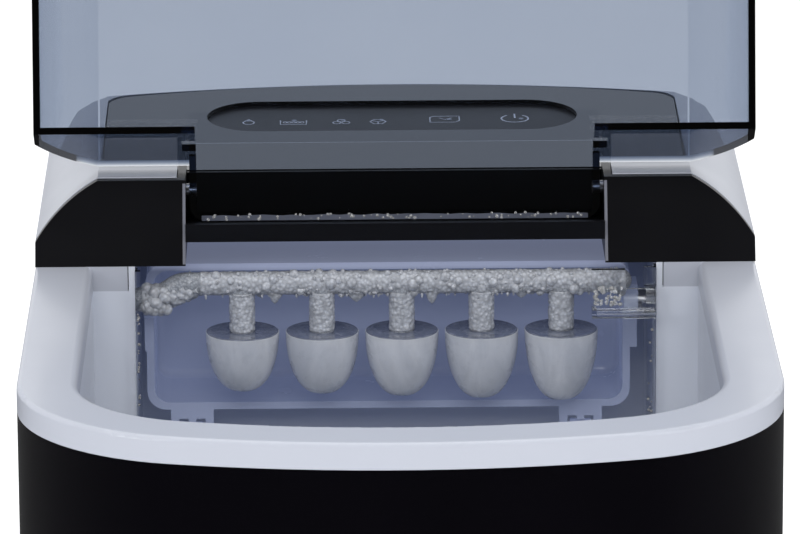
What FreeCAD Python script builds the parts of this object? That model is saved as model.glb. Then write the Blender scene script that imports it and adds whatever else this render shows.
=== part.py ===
import FreeCAD, Part
import math
import os

# Countertop bullet-ice maker, in millimetres.
# +X is the machine's right seen from the front, -Y its front, +Z up.
# The origin is at the bottom centre of the whole machine, on the surface it stands on.
# The lid is drawn open on its stop and the water tray in its dump position.

V = FreeCAD.Vector
X_AXIS = V(1, 0, 0)
Y_AXIS = V(0, 1, 0)
Z_AXIS = V(0, 0, 1)

# ---------------------------------------------------------------- driving dimensions

# whole machine
width = 226.6
depth = 330.0
rim_z = 284.0                 # top of the white bezel
foot_height = 8.0
wall = 2.2                    # casing, housing and lid skins
gap = 0.3                     # assembly gap between covers

# plan outline: a bowed front with large corners, and a flat rear with small ones
front_bow_radius = 280.0
front_corner_radius = 60.0
rear_corner_radius = 26.0

# bezel
bezel_width = 18.0
bezel_height = 8.0
bezel_inner_round = 2.2
bezel_outer_round = 1.4

# rear housing section, measured up from the rim
well_run = 194.0              # from the front to the face of the end caps
shoulder_height = 7.1
crown_height = 24.9
crown_half_width = 93.7
crown_bulge = 1.8             # sagitta of the arc from shoulder to crown
housing_rise = 2.2            # the crown climbs this much towards the rear
cap_slope = math.radians(25)  # the end caps' faces lean back
housing_floor = 15.5          # underside of the housing's thick top

# hinge trough between the end caps
trough_half_width = 66.0
cheek = 2.5
trough_front = 3.0
trough_back = 31.2
trough_underside = 5.6
bar_bottom = 6.9
bar_top = 12.6
trough_skin = 1.6

# lid
hinge_back = 18.3             # hinge axis behind the cap face
hinge_up = 20.0               # hinge axis above the rim
lid_open_deg = 101.0
lid_gap = 0.6
tab_gap = 1.2
bar_clearance = 0.9           # room round the trough's bar when the lid is closed
tab_back = 28.0
tab_depth = 9.0
pin_radius = 2.0
running_fit = 0.06
pin_reach = 3.4

# control fascia
fascia_thick = 3.0
fascia_front = 33.2
fascia_front_up = 22.7
fascia_length = 95.0
fascia_bow = 12.8
fascia_tilt_deg = 2.6
rear_slope_deg = 25.0         # the housing falls away behind the fascia's bowed rear edge
rear_slope_gap = 0.8
panel_length = 121.0
panel_width = 34.0
panel_from_front = 59.2       # centre of the display panel behind the fascia's front edge
panel_depth = 2.2

# display panel
panel_thick = 0.7
lens_radius = 0.8
lens_row = 59.0               # behind the fascia's front edge
lens_xs = (-47.0, -32.0, -16.0, -3.5, 18.7, 42.2)

# end caps
cap_thick = 3.0

# rear panel, drain and cord gland
screw_thread = 1.5
screw_head = 3.0
screw_head_thick = 1.1
screw_length = 9.0
drain_x = -58.0
drain_z = 42.0
drain_cup_radius = 14.0
drain_cup_depth = 9.0
drain_cup_skin = 2.0
gland_x = 60.0
gland_z = 42.0
gland_hole = 8.0
gland_bore = 3.6
louvre_pitch = 7.4
louvre_height = 3.6

# well and ice chamber
well_floor_z = 112.0
liner_wall = 2.0
chamber_half_width = 82.0
chamber_run = 58.0
chamber_drop = 92.0           # chamber floor below the rim
sensor_radius = 3.0
sensor_front = 60.0           # ahead of the cap face
sensor_down = 62.0
guard_height = 91.0
guard_thick = 2.0
guard_foot = 0.8
left_guard_inner = 80.3
right_guard_inner = 78.0
outlet_x = 60.0               # sump outlet to the pump
outlet_front = 30.0
outlet_bore = 4.0
waste_x = -50.0               # waste outlet to the drain
waste_front = 20.0
waste_bore = 3.5
spout_wall = 1.5              # skin of the outlets and of the spout
outlet_drop = 6.0
foam_thick = 12.0

# evaporator, measured from the cap face and the rim
finger_count = 5
finger_pitch = 25.2
finger_middle_x = 1.9
evaporator_back = 6.0
evaporator_down = 7.4
tube_radius = 3.6
finger_radius = 3.8
finger_tip_down = 36.5
ice_radius = 11.8
ice_flank_radius = 11.3
ice_nose_radius = 8.6
ice_nose_height = 5.4
ice_flank_height = 13.5       # above the tip
ice_top_down = 22.9
ice_tip_down = 44.4
ice_tip_step = 0.95           # each bullet hangs this much lower than the one on its left

# water tray in its dump position: a trough that opens to the front
tray_pivot_back = 17.0
tray_pivot_down = 16.5
tray_rim_back = 18.5
tray_inner_depth = 30.0
tray_top_down = 6.6
tray_bottom_down = 50.2
tray_left = -79.2
tray_right = 74.7
tray_skin = 2.3
shaft_radius = 3.0
clip_width = 13.6
clip_drop = 9.5
clip_centres = (-65.0, 59.0)
clip_thick = 4.8
pusher_pin_radius = 1.2
pusher_height = 20.0
pusher_eye = 2.1
pusher_eye_width = 6.8
pusher_half_width = 70.0
pusher_skin = 1.6

# water spout
spout_left = 61.5
spout_plate_right = 72.0
spout_lip_down = 13.0
spout_radius = 3.4

# machine room behind and below the chamber
compressor_radius = 42.0
compressor_x = 52.0
compressor_back = 84.0
compressor_top_z = 132.0
fan_x = -53.0
fan_z = 98.0
fan_radius = 39.0
shroud_half = 46.0
shroud_back = 86.0
condenser_back = 60.0
condenser_deep = 24.0
fin_pitch = 4.1
fin_count = 22
coil_radius = 3.2
coil_rows = 5
coil_pitch = 18.0
pan_thick = 2.5
compressor_plate_z = 18.5
compressor_base_z = 22.0
hose_radius = 3.2
pipe_radius = 2.6
pump_z0 = 62.0
pump_bracket = 4.0

# ice basket
basket_long = 126.0
basket_rear_gap = 34.0        # ahead of the cap face
basket_half = 76.0
basket_down = 72.0            # rim of the basket below the bezel
basket_skin = 1.8
basket_corner = 14.0
basket_slot = 4.8

beyond = 400.0                # longer than the machine in any direction

# ---------------------------------------------------------------- derived places

half_width = width / 2
front_y = -depth / 2
rear_y = depth / 2
cap_y = front_y + well_run
casing_top_z = rim_z - bezel_height
hinge_y = cap_y + hinge_back
hinge_z = rim_z + hinge_up
pivot_y = cap_y + tray_pivot_back
pivot_z = rim_z - tray_pivot_down
evaporator_y = cap_y + evaporator_back
evaporator_z = rim_z - evaporator_down
slope_run = math.tan(cap_slope)
feed_y = cap_y + 7.0          # the feed pipe's and the water nozzle's way through the chamber walls
feed_z = rim_z - 12.2
nozzle_y = cap_y + 5.6
nozzle_z = rim_z - 11.6
sensor_y = cap_y - sensor_front
sensor_z = rim_z - sensor_down
clip_pin_y = cap_y + tray_rim_back + clip_thick / 2
clip_pin_z = rim_z - tray_bottom_down - tray_skin - clip_drop + 2.6
pipe_foot_z = compressor_top_z - 18
basket_back = cap_y - basket_rear_gap
basket_front = basket_back - basket_long
basket_top_z = rim_z - basket_down


# ---------------------------------------------------------------- helpers

def block(x0, x1, y0, y1, z0, z1):
    return Part.makeBox(x1 - x0, y1 - y0, z1 - z0, V(x0, y0, z0))


def rod(start, axis, radius, length):
    return Part.makeCylinder(radius, length, start, axis)


def tube(start, axis, outer, inner, length):
    return rod(start, axis, outer, length).cut(rod(start, axis, inner, length))


def cone(low_radius, high_radius, start, top_z):
    return Part.makeCone(low_radius, high_radius, top_z - start.z, start, Z_AXIS)


def fuse_all(shapes):
    first, rest = shapes[0], shapes[1:]
    return first.multiFuse(rest).removeSplitter() if rest else first


def mirrored_x(shape):
    return shape.mirror(V(0, 0, 0), X_AXIS)


def arc_edge(a, mid, b):
    return Part.Arc(a, mid, b).toShape()


def line_edge(a, b):
    return Part.LineSegment(a, b).toShape()


def polygon_along_x(points_yz, x0, x1):
    points = [V(x0, y, z) for y, z in points_yz]
    face = Part.Face(Part.makePolygon(points + points[:1]))
    return face.extrude(V(x1 - x0, 0, 0))


def slot_cutter(x0, x1, z0, z1, y0, y1):
    """A vertical-faced slot with round ends, cut along Y."""
    r = (z1 - z0) / 2
    body = block(x0 + r, x1 - r, y0, y1, z0, z1)
    ends = [rod(V(x, y0, z0 + r), Y_AXIS, r, y1 - y0) for x in (x0 + r, x1 - r)]
    return fuse_all([body] + ends)


def bent_path(points, bend):
    """Straight runs joined by tangent arcs of one radius."""
    edges = []
    here = points[0]
    for before, corner, after in zip(points, points[1:], points[2:]):
        u = (before - corner).normalize()
        w = (after - corner).normalize()
        half = u.getAngle(w) / 2
        cut_back = bend / math.tan(half)
        a = corner + u * cut_back
        b = corner + w * cut_back
        bisector = (u + w).normalize()
        mid = corner + bisector * (bend / math.sin(half) - bend)
        edges.append(line_edge(here, a))
        edges.append(arc_edge(a, mid, b))
        here = b
    edges.append(line_edge(here, points[-1]))
    return Part.Wire(edges)


def pipe(points, radius, bend):
    path = bent_path(points, bend)
    direction = (points[1] - points[0]).normalize()
    ring = Part.Wire(Part.makeCircle(radius, points[0], direction))
    return path.makePipeShell([ring], True, False)


# ---------------------------------------------------------------- plan outline

def plan_face(inset, z):
    """The machine's outline from above, drawn in by inset."""
    bow = front_bow_radius - inset
    corner = front_corner_radius - inset
    rear = rear_corner_radius - inset
    side_x = half_width - inset
    corner_x = half_width - front_corner_radius
    bow_y = front_y + front_bow_radius
    corner_y = bow_y - math.sqrt((front_bow_radius - front_corner_radius) ** 2 - corner_x ** 2)
    turn = math.atan2(corner_x, bow_y - corner_y)
    meet_x = bow * math.sin(turn)
    meet_y = bow_y - bow * math.cos(turn)
    middle_turn = (turn + math.pi / 2) / 2
    corner_mid_x = corner_x + corner * math.sin(middle_turn)
    corner_mid_y = corner_y - corner * math.cos(middle_turn)
    rear_x = half_width - rear_corner_radius
    rear_centre_y = rear_y - rear_corner_radius
    diagonal = rear * math.sqrt(0.5)
    back_y = rear_y - inset

    rear_mid_x = rear_x + diagonal
    rear_mid_y = rear_centre_y + diagonal

    def p(x, y):
        return V(x, y, z)

    edges = [
        arc_edge(p(-meet_x, meet_y), p(0, bow_y - bow), p(meet_x, meet_y)),
        arc_edge(p(meet_x, meet_y), p(corner_mid_x, corner_mid_y), p(side_x, corner_y)),
        line_edge(p(side_x, corner_y), p(side_x, rear_centre_y)),
        arc_edge(p(side_x, rear_centre_y), p(rear_mid_x, rear_mid_y), p(rear_x, back_y)),
        line_edge(p(rear_x, back_y), p(-rear_x, back_y)),
        arc_edge(p(-rear_x, back_y), p(-rear_mid_x, rear_mid_y), p(-side_x, rear_centre_y)),
        line_edge(p(-side_x, rear_centre_y), p(-side_x, corner_y)),
        arc_edge(p(-side_x, corner_y), p(-corner_mid_x, corner_mid_y), p(-meet_x, meet_y)),
    ]
    return Part.Face(Part.Wire(edges))


def plan_prism(inset, z0, z1):
    return plan_face(inset, z0).extrude(V(0, 0, z1 - z0))


def crown_section(inset, y):
    """The hump's cross-section, shared by the rear housing, the end caps and the lid."""
    side = half_width - inset
    top = rim_z + crown_height - inset
    shoulder = rim_z + shoulder_height - inset / 2
    crown = crown_half_width - inset / 2
    chord = V(crown - side, 0, top - shoulder)
    outward = V(chord.z, 0, -chord.x).normalize()
    middle = V((side + crown) / 2, y, (shoulder + top) / 2) + outward * crown_bulge
    left_middle = V(-middle.x, y, middle.z)
    bottom = rim_z

    def p(x, z):
        return V(x, y, z)

    edges = [
        line_edge(p(-side, bottom), p(side, bottom)),
        line_edge(p(side, bottom), p(side, shoulder)),
        arc_edge(p(side, shoulder), middle, p(crown, top)),
        line_edge(p(crown, top), p(-crown, top)),
        arc_edge(p(-crown, top), left_middle, p(-side, shoulder)),
        line_edge(p(-side, shoulder), p(-side, bottom)),
    ]
    return Part.Face(Part.Wire(edges))


def sloped_slab(back_from, back_to):
    """Everything between two planes parallel to the end caps' faces."""
    low = rim_z - 1
    high = rim_z + 40
    rise_low = (low - rim_z) * slope_run
    rise_high = (high - rim_z) * slope_run
    outline = [
        (cap_y + back_from + rise_low, low),
        (cap_y + back_to + rise_low, low),
        (cap_y + back_to + rise_high, high),
        (cap_y + back_from + rise_high, high),
    ]
    return polygon_along_x(outline, -half_width - 1, half_width + 1)


# ---------------------------------------------------------------- casing

def make_feet():
    xs = (-82, 82)
    ys = (front_y + 52, rear_y - 34)
    feet = []
    for x in xs:
        for y in ys:
            pad = Part.makeCone(8.0, 9.5, foot_height, V(x, y, 0), Z_AXIS)
            feet.append(pad)
    return Part.makeCompound(feet)


def make_base_pan():
    rim = 6.0
    pan = plan_prism(wall + gap, foot_height, foot_height + rim)
    hollow = plan_prism(wall + gap + 2, foot_height + pan_thick, foot_height + rim + 1)
    pan = pan.cut(hollow)
    slots = []
    for row in range(6):
        y = cap_y - 90 + row * 9
        slots.append(block(-45, 45, y, y + 4, foot_height - 1, foot_height + pan_thick + 1))
    return pan.cut(fuse_all(slots))


def side_vents():
    cutters = []
    slot_rise = 8.0
    slot_height = 3.6
    for row in range(13):
        z = 60 + row * slot_rise
        cutters.append(block(-half_width - 1, half_width + 1, cap_y + 46, cap_y + 104, z, z + slot_height))
    return fuse_all(cutters)


def rear_window(margin):
    return block(-half_width + 30 - margin, half_width - 30 + margin, rear_y - 6, rear_y + 1,
                 20 - margin, casing_top_z - 12 + margin)


def panel_screw_places():
    return [(x, z) for x in (-half_width + 34, half_width - 34) for z in (32, 150, casing_top_z - 22)]


def make_outer_casing():
    """Side and front wall in one, with the rear panel's window and its ledge."""
    shell = plan_prism(0, foot_height, casing_top_z).cut(plan_prism(wall, foot_height - 1, casing_top_z + 1))
    shell = shell.cut(side_vents())
    ledge = block(-half_width + 24, half_width - 24, rear_y - wall - 1.6, rear_y - wall, 14, casing_top_z - 6)
    shell = shell.fuse(ledge)
    inner = block(-half_width + 38, half_width - 38, rear_y - 7, rear_y + 1, 24, casing_top_z - 16)
    seat = rear_window(0).common(block(-beyond, beyond, rear_y - wall, rear_y + 2, 0, beyond))
    holes = [rod(V(x, rear_y - 8, z), Y_AXIS, screw_thread, screw_length) for x, z in panel_screw_places()]
    return shell.cut(inner).cut(seat).cut(fuse_all(holes)).removeSplitter()


def panel_louvres():
    fan_rows = [(64 + row * louvre_pitch, fan_x - 26, fan_x + 34) for row in range(12)]
    upper_rows = [(190 + row * louvre_pitch, -60, 60) for row in range(5)]
    return fuse_all([slot_cutter(x0, x1, z, z + louvre_height, rear_y - 4, rear_y + 1)
                     for z, x0, x1 in fan_rows + upper_rows])


def make_rear_panel():
    """Louvred plate with a sunk cup round the drain and a hole for the cord gland."""
    plate = rear_window(-gap).common(block(-beyond, beyond, rear_y - wall, rear_y, 0, beyond))
    plate = plate.cut(panel_louvres())
    cup_depth = drain_cup_depth + drain_cup_skin
    cup_at = V(drain_x, rear_y - cup_depth, drain_z)
    cup = tube(cup_at, Y_AXIS, drain_cup_radius + 1.8, drain_cup_radius, cup_depth)
    floor = tube(cup_at, Y_AXIS, drain_cup_radius + 1.8, 7.0, drain_cup_skin)
    plate = plate.cut(rod(V(drain_x, rear_y - 4, drain_z), Y_AXIS, drain_cup_radius + 1, 6))
    plate = fuse_all([plate, cup, floor])
    plate = plate.cut(rod(V(gland_x, rear_y - 6, gland_z), Y_AXIS, gland_hole, 8))
    for x, z in panel_screw_places():
        plate = plate.cut(rod(V(x, rear_y - 4, z), Y_AXIS, screw_thread, 6))
        plate = plate.cut(rod(V(x, rear_y - screw_head_thick, z), Y_AXIS, screw_head + 0.1, 2))
    return plate


def make_cord_gland():
    start = V(gland_x, rear_y - 9, gland_z)
    bush = rod(start, Y_AXIS, gland_hole - 0.1, 9)
    flange = rod(start, Y_AXIS, gland_hole + 3, 9 - wall - 1.6 - gap)
    bore = rod(V(gland_x, rear_y - 10, gland_z), Y_AXIS, gland_bore, 12)
    return bush.fuse(flange).cut(bore).removeSplitter()


def make_drain_spigot():
    back = rear_y - drain_cup_depth - drain_cup_skin
    body = tube(V(drain_x, back - 14, drain_z), Y_AXIS, 6.9, 4.6, 16)
    collar = tube(V(drain_x, back - 3, drain_z), Y_AXIS, 9.5, 6.0, 3)
    return body.fuse(collar).removeSplitter()


def make_drain_cap():
    """Plug with a grip bar that stays inside the rear panel's cup."""
    head_thick = 4.5
    head_back = rear_y - drain_cup_depth + 2.2
    head = rod(V(drain_x, head_back, drain_z), Y_AXIS, 11.5, head_thick)
    grip = block(drain_x - 9, drain_x + 9, head_back + head_thick, rear_y - 0.4, drain_z - 1.6, drain_z + 1.6)
    plug = rod(V(drain_x, head_back - 10, drain_z), Y_AXIS, 4.5, 10)
    return fuse_all([head, grip, plug])


def make_drain_seal():
    seat = rear_y - drain_cup_depth
    return tube(V(drain_x, seat, drain_z), Y_AXIS, 9.0, 4.8, 2.0)


# ---------------------------------------------------------------- bezel, housing and caps

def well_prism(inset, z0, z1):
    front_part = plan_prism(inset, z0, z1)
    return front_part.common(block(-half_width, half_width, front_y, cap_y, z0, z1))


def make_top_bezel():
    ring = plan_prism(0, casing_top_z, rim_z)
    top_edges = [e for e in ring.Edges
                 if abs(e.BoundBox.ZMin - rim_z) < 0.01 and abs(e.BoundBox.ZMax - rim_z) < 0.01]
    ring = ring.makeFillet(bezel_outer_round, top_edges)
    ring = ring.cut(well_prism(bezel_width, casing_top_z - 1, rim_z + 1))
    inner_edges = []
    for e in ring.Edges:
        b = e.BoundBox
        on_top = abs(b.ZMin - rim_z) < 0.01 and abs(b.ZMax - rim_z) < 0.01
        inside = b.XMin > -half_width + bezel_width - 1 and b.XMax < half_width - bezel_width + 1
        if on_top and inside and b.YMax < cap_y + 0.01 and b.YMin < cap_y - 1:
            inner_edges.append(e)
    ring = ring.makeFillet(bezel_inner_round, inner_edges)
    reach = liner_wall + gap
    chamber = block(-chamber_half_width - reach, chamber_half_width + reach, cap_y - 1,
                    cap_y + 2 * reach, casing_top_z - 1, rim_z + 1)
    machine_room = block(-half_width + 14, half_width - 14, cap_y + reach, rear_y - 14,
                         casing_top_z - 1, rim_z + 1)
    return ring.cut(chamber).cut(machine_room)


def fascia_outline(grow):
    """Flat outline of the control fascia: straight front, bowed rear, small round corners."""
    x = crown_half_width - 0.6 + grow
    front = -grow
    side = fascia_length - fascia_bow + grow
    middle = fascia_length + grow
    r = 7.0
    edges = [
        line_edge(V(-x, front, 0), V(x, front, 0)),
        line_edge(V(x, front, 0), V(x, side - r, 0)),
        arc_edge(V(x, side - r, 0), V(x - r * 0.28, side - r * 0.24, 0), V(x - r, side + 1.9, 0)),
        arc_edge(V(x - r, side + 1.9, 0), V(0, middle, 0), V(-x + r, side + 1.9, 0)),
        arc_edge(V(-x + r, side + 1.9, 0), V(-x + r * 0.28, side - r * 0.24, 0), V(-x, side - r, 0)),
        line_edge(V(-x, side - r, 0), V(-x, front, 0)),
    ]
    return Part.Face(Part.Wire(edges))


def place_on_fascia(shape):
    """From the fascia's own flat frame (top at 0, front edge at Y 0) into the machine's."""
    placed = shape.copy()
    placed.rotate(V(0, 0, 0), X_AXIS, fascia_tilt_deg)
    placed.translate(V(0, cap_y + fascia_front, rim_z + fascia_front_up))
    return placed


def pill(length, breadth, z0, z1, centre_y):
    r = breadth / 2
    straight = length / 2 - r
    body = block(-straight, straight, centre_y - r, centre_y + r, z0, z1)
    ends = [rod(V(x, centre_y, z0), Z_AXIS, r, z1 - z0) for x in (-straight, straight)]
    return fuse_all([body] + ends)


def make_control_fascia():
    plate = fascia_outline(0).extrude(V(0, 0, -fascia_thick))
    recess = pill(panel_length, panel_width, -panel_depth, 1, panel_from_front)
    return place_on_fascia(plate.cut(recess))


def make_display_panel():
    plate = pill(panel_length - 0.4, panel_width - 0.4, -panel_depth, -panel_depth + panel_thick,
                 panel_from_front)
    holes = [rod(V(x, lens_row, -panel_depth - 1), Z_AXIS, lens_radius + 0.1, 3) for x in lens_xs]
    return place_on_fascia(plate.cut(fuse_all(holes)))


def make_indicator_lenses():
    lenses = [rod(V(x, lens_row, -panel_depth), Z_AXIS, lens_radius, panel_thick + 0.15) for x in lens_xs]
    return place_on_fascia(Part.makeCompound(lenses))


def crown_keeper():
    """Everything in front of, or below, the slope that starts at the fascia's bowed rear edge."""
    half_chord = crown_half_width - 8
    sagitta = fascia_bow - 1.9
    radius = (half_chord ** 2 + sagitta ** 2) / (2 * sagitta)
    reach = half_width + 5
    middle = fascia_length + rear_slope_gap
    side = middle - radius + math.sqrt(radius ** 2 - reach ** 2)
    front = -fascia_length
    outline = Part.Wire([
        line_edge(V(-reach, front, 0), V(reach, front, 0)),
        line_edge(V(reach, front, 0), V(reach, side, 0)),
        arc_edge(V(reach, side, 0), V(0, middle, 0), V(-reach, side, 0)),
        line_edge(V(-reach, side, 0), V(-reach, front, 0)),
    ])
    face = place_on_fascia(Part.Face(outline))
    slope = math.radians(rear_slope_deg)
    below = face.extrude(V(0, math.cos(slope), -math.sin(slope)) * 100)
    above = face.extrude(V(0, 0, 20))
    return below.fuse(above)


def housing_block(inset):
    run = rear_y - cap_y
    base = crown_section(inset, cap_y)
    body = base.extrude(V(0, run, housing_rise))
    skirt = plan_prism(inset, rim_z, rim_z + 60)
    lift = base.extrude(V(0, run, 0))
    return body.fuse(lift).common(skirt).removeSplitter()


def fascia_pocket():
    pocket = fascia_outline(gap).extrude(V(0, 0, 12))
    pocket.translate(V(0, 0, -fascia_thick))
    return place_on_fascia(pocket)


def make_rear_housing():
    """Top cover behind the end caps, open over the hinge trough and pocketed for the fascia."""
    face = cap_thick + gap
    outer = housing_block(0).common(sloped_slab(face, beyond))
    cavity = housing_block(wall).common(sloped_slab(face + wall, beyond))
    under = block(-beyond, beyond, cap_y - 10, rear_y, rim_z - 1, rim_z + housing_floor)
    opening = trough_half_width + cheek + gap
    opening_back = cap_y + trough_back + trough_skin + gap
    trough = block(-opening, opening, cap_y - 5, opening_back, rim_z - 1, rim_z + 40)
    strip = block(-opening, opening, cap_y, cap_y + fascia_front,
                  rim_z + fascia_front_up - fascia_thick - 1, rim_z + 40)
    housing = outer.cut(cavity.common(under))
    for cutter in (trough, fascia_pocket(), strip):
        housing = housing.cut(cutter)
    return housing.common(crown_keeper()).removeSplitter()


def make_end_cap(side):
    """Black plate over the hump's sloping front, with a cheek that bears one lid pin."""
    inner = trough_half_width
    plate = crown_section(0, cap_y - 1).extrude(V(0, 60, 0)).common(sloped_slab(0, cap_thick))
    plate = plate.common(block(inner, half_width, cap_y - 5, cap_y + 60, rim_z, rim_z + 40))
    cheek_back = cap_y + trough_back + trough_skin
    cheek_plate = block(inner, inner + cheek, cap_y, cheek_back, rim_z + 0.2, rim_z + crown_height)
    cheek_plate = cheek_plate.common(sloped_slab(0, beyond))
    bore = rod(V(inner - 1, hinge_y, hinge_z), X_AXIS, pin_radius + running_fit, cheek + 2)
    cap = fuse_all([plate, cheek_plate]).cut(bore)
    return cap if side > 0 else mirrored_x(cap)


def make_hinge_trough():
    """Channel the lid's tab drops into, with an upright bar along its front."""
    z = rim_z
    back = cap_y + trough_back
    outline = [
        (cap_y + trough_front, z + bar_bottom),
        (cap_y + trough_front + 2, z + bar_bottom),
        (cap_y + 10, z + trough_underside),
        (back + trough_skin, z + trough_underside),
        (back + trough_skin, z + fascia_front_up - gap),
        (back, z + fascia_front_up - gap),
        (back, z + trough_underside + trough_skin),
        (cap_y + 10.4, z + trough_underside + trough_skin),
        (cap_y + trough_front + 2.2, z + bar_bottom + trough_skin),
        (cap_y + trough_front + 2.2, z + bar_top),
        (cap_y + trough_front, z + bar_top),
    ]
    return polygon_along_x(outline, -trough_half_width, trough_half_width)


# ---------------------------------------------------------------- lid

def front_slope(inset):
    """Side profile of the lid's front: upright to the shoulder, then an arc onto the crown."""
    x = half_width + 1
    front = front_y + inset
    shoulder = rim_z + shoulder_height - inset / 2
    top = rim_z + crown_height - inset
    run = half_width - crown_half_width
    knee = V(-x, front, shoulder)
    crown = V(-x, front + run, top)
    chord = crown - knee
    outward = V(0, -chord.z, chord.y).normalize()
    middle = (knee + crown) * 0.5 + outward * crown_bulge
    back_y = cap_y + 60
    edges = [
        line_edge(V(-x, front, rim_z - 1), knee),
        arc_edge(knee, middle, crown),
        line_edge(crown, V(-x, back_y, top)),
        line_edge(V(-x, back_y, top), V(-x, back_y, rim_z - 1)),
        line_edge(V(-x, back_y, rim_z - 1), V(-x, front, rim_z - 1)),
    ]
    return Part.Face(Part.Wire(edges)).extrude(V(2 * x, 0, 0))


def lid_block(inset):
    long_section = crown_section(inset, front_y - 1).extrude(V(0, well_run + 60, 0))
    body = long_section.common(plan_prism(inset + 0.2, rim_z, rim_z + 40))
    body = body.common(front_slope(inset + 0.2))
    return body.common(sloped_slab(-beyond, -lid_gap - inset))


def tab_block(inset):
    x = trough_half_width - tab_gap - inset
    z0 = rim_z + crown_height - tab_depth
    top = rim_z + crown_height - inset
    front = cap_y - 6
    back = cap_y + tab_back - inset
    body = block(-x, x, front, back, z0, top)
    corners = [e for e in body.Edges
               if abs(e.BoundBox.YMin - back) < 0.01 and e.BoundBox.ZLength > 1]
    return body.makeFillet(5.0 - inset, corners)


def opened(shape):
    """Turn a closed lid piece up to its open stop."""
    turned = shape.copy()
    turned.rotate(V(0, hinge_y, hinge_z), X_AXIS, -lid_open_deg)
    return turned


def lid_hollow():
    """Room inside the lid's skin, open through the rim and into the tab."""
    rear_wall = sloped_slab(-beyond, -lid_gap - wall)
    mouth = well_prism(wall + 0.2, rim_z - 2, rim_z + 0.01)
    body = lid_block(wall).fuse(mouth).common(rear_wall)
    tab_x = trough_half_width - tab_gap - wall
    tab = block(-tab_x, tab_x, cap_y - 12, cap_y + tab_back - wall, rim_z - 2, rim_z + crown_height - wall)
    return body, tab.cut(sloped_slab(-beyond, -lid_gap - wall - 4))


def make_lid():
    """Clear domed shell with a tab that reaches back between the end caps to the hinge."""
    body_hollow, tab_hollow = lid_hollow()
    lid = fuse_all([lid_block(0), tab_block(0)]).cut(body_hollow).cut(tab_hollow)
    pin_holes = rod(V(-trough_half_width, hinge_y, hinge_z), X_AXIS, pin_radius, 2 * trough_half_width)
    notch_x = trough_half_width + bar_clearance
    bar_notch = block(-notch_x, notch_x, cap_y + trough_front - bar_clearance, cap_y + hinge_back,
                      rim_z - 1, rim_z + bar_top + bar_clearance)
    return opened(lid.cut(pin_holes).cut(bar_notch).removeSplitter())


def make_hinge_pins():
    start = trough_half_width - tab_gap - wall
    pin = rod(V(start, hinge_y, hinge_z), X_AXIS, pin_radius, pin_reach)
    return Part.makeCompound([pin, mirrored_x(pin)])


# ---------------------------------------------------------------- well and chamber

def liner_shell():
    reach = liner_wall
    x = chamber_half_width
    floor_z = well_floor_z - reach
    chamber_z = rim_z - chamber_drop
    well = plan_prism(bezel_width - reach, floor_z, casing_top_z)
    well = well.common(block(-beyond, beyond, front_y, cap_y + reach, floor_z, casing_top_z))
    chamber = block(-x - reach, x + reach, cap_y, cap_y + chamber_run + reach, chamber_z - reach, rim_z)
    well_room = well_prism(bezel_width, well_floor_z, rim_z + 5)
    chamber_room = block(-x, x, cap_y - 1, cap_y + chamber_run, chamber_z, rim_z + 5)
    return fuse_all([well, chamber]).cut(well_room).cut(chamber_room)


def liner_holes():
    """Ways through the chamber's side walls and the well's, for shafts, pipes and sensors."""
    reach = liner_wall
    left = -chamber_half_width - reach - 1
    right = chamber_half_width - 1
    length = reach + 2
    bearing = shaft_radius + running_fit
    holes = [
        rod(V(right, pivot_y, pivot_z), X_AXIS, bearing, length),
        rod(V(left, pivot_y, pivot_z), X_AXIS, bearing, length),
        rod(V(left, feed_y, feed_z), X_AXIS, tube_radius + 0.5, length),
        rod(V(right, nozzle_y, nozzle_z), X_AXIS, hose_radius + 0.1, length),
    ]
    for side in (-1, 1):
        start = V(side * (half_width - bezel_width + reach + 1), sensor_y, sensor_z)
        holes.append(rod(start, V(-side, 0, 0), sensor_radius + 0.05, reach + 3))
    return fuse_all(holes)


def make_well_liner():
    """Ice well and freezing chamber in one tub, with two outlets under the floor."""
    liner = liner_shell()
    bottom = well_floor_z - liner_wall - outlet_drop
    length = outlet_drop + 2
    for x, front, bore in ((outlet_x, outlet_front, outlet_bore), (waste_x, waste_front, waste_bore)):
        liner = liner.fuse(tube(V(x, cap_y - front, bottom), Z_AXIS, bore + 2, bore, length))
        liner = liner.cut(rod(V(x, cap_y - front, bottom - 1), Z_AXIS, bore, length + 4))
    return liner.removeSplitter().cut(liner_holes())


def make_ice_full_sensors():
    sensors = []
    for side in (-1, 1):
        face = half_width - bezel_width
        body = rod(V(side * (face + 0.2), sensor_y, sensor_z), V(side, 0, 0), sensor_radius, 7)
        flange = rod(V(side * (face + liner_wall + 0.1), sensor_y, sensor_z), V(side, 0, 0), 5.0, 1.5)
        sensors.append(body.fuse(flange).removeSplitter())
    return Part.makeCompound(sensors)


def make_splash_guard(side):
    """Clear strip just inside the chamber mouth, with a foot against the chamber's side wall."""
    inner = left_guard_inner if side < 0 else right_guard_inner
    outer = chamber_half_width - 0.05
    face = cap_y - 2.6
    bottom = rim_z - guard_height
    strip = block(inner, outer, face, face + guard_thick, bottom, rim_z - 1)
    foot = block(outer - guard_foot, outer, face, cap_y + 2, bottom, rim_z - 1)
    guard = fuse_all([strip, foot])
    if side < 0:
        return mirrored_x(guard)
    notch_z = rim_z - spout_lip_down - spout_radius - 1
    spout_notch = block(chamber_half_width - 4.5, outer - 0.4, face - 1, cap_y + 3, notch_z, rim_z - 7)
    return guard.cut(spout_notch)


def make_foam_insulation():
    thick = foam_thick
    z0 = rim_z - chamber_drop - liner_wall - gap
    x = chamber_half_width
    back = cap_y + chamber_run + liner_wall + gap
    rear = block(-x, x, back, back + thick, z0 - thick, casing_top_z - 2)
    under = block(-x, x, cap_y + 16, back + thick, z0 - thick, z0)
    return fuse_all([rear, under])


# ---------------------------------------------------------------- evaporator

def finger_xs():
    first = finger_middle_x - finger_pitch * (finger_count - 1) / 2
    return [first + finger_pitch * i for i in range(finger_count)]


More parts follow.
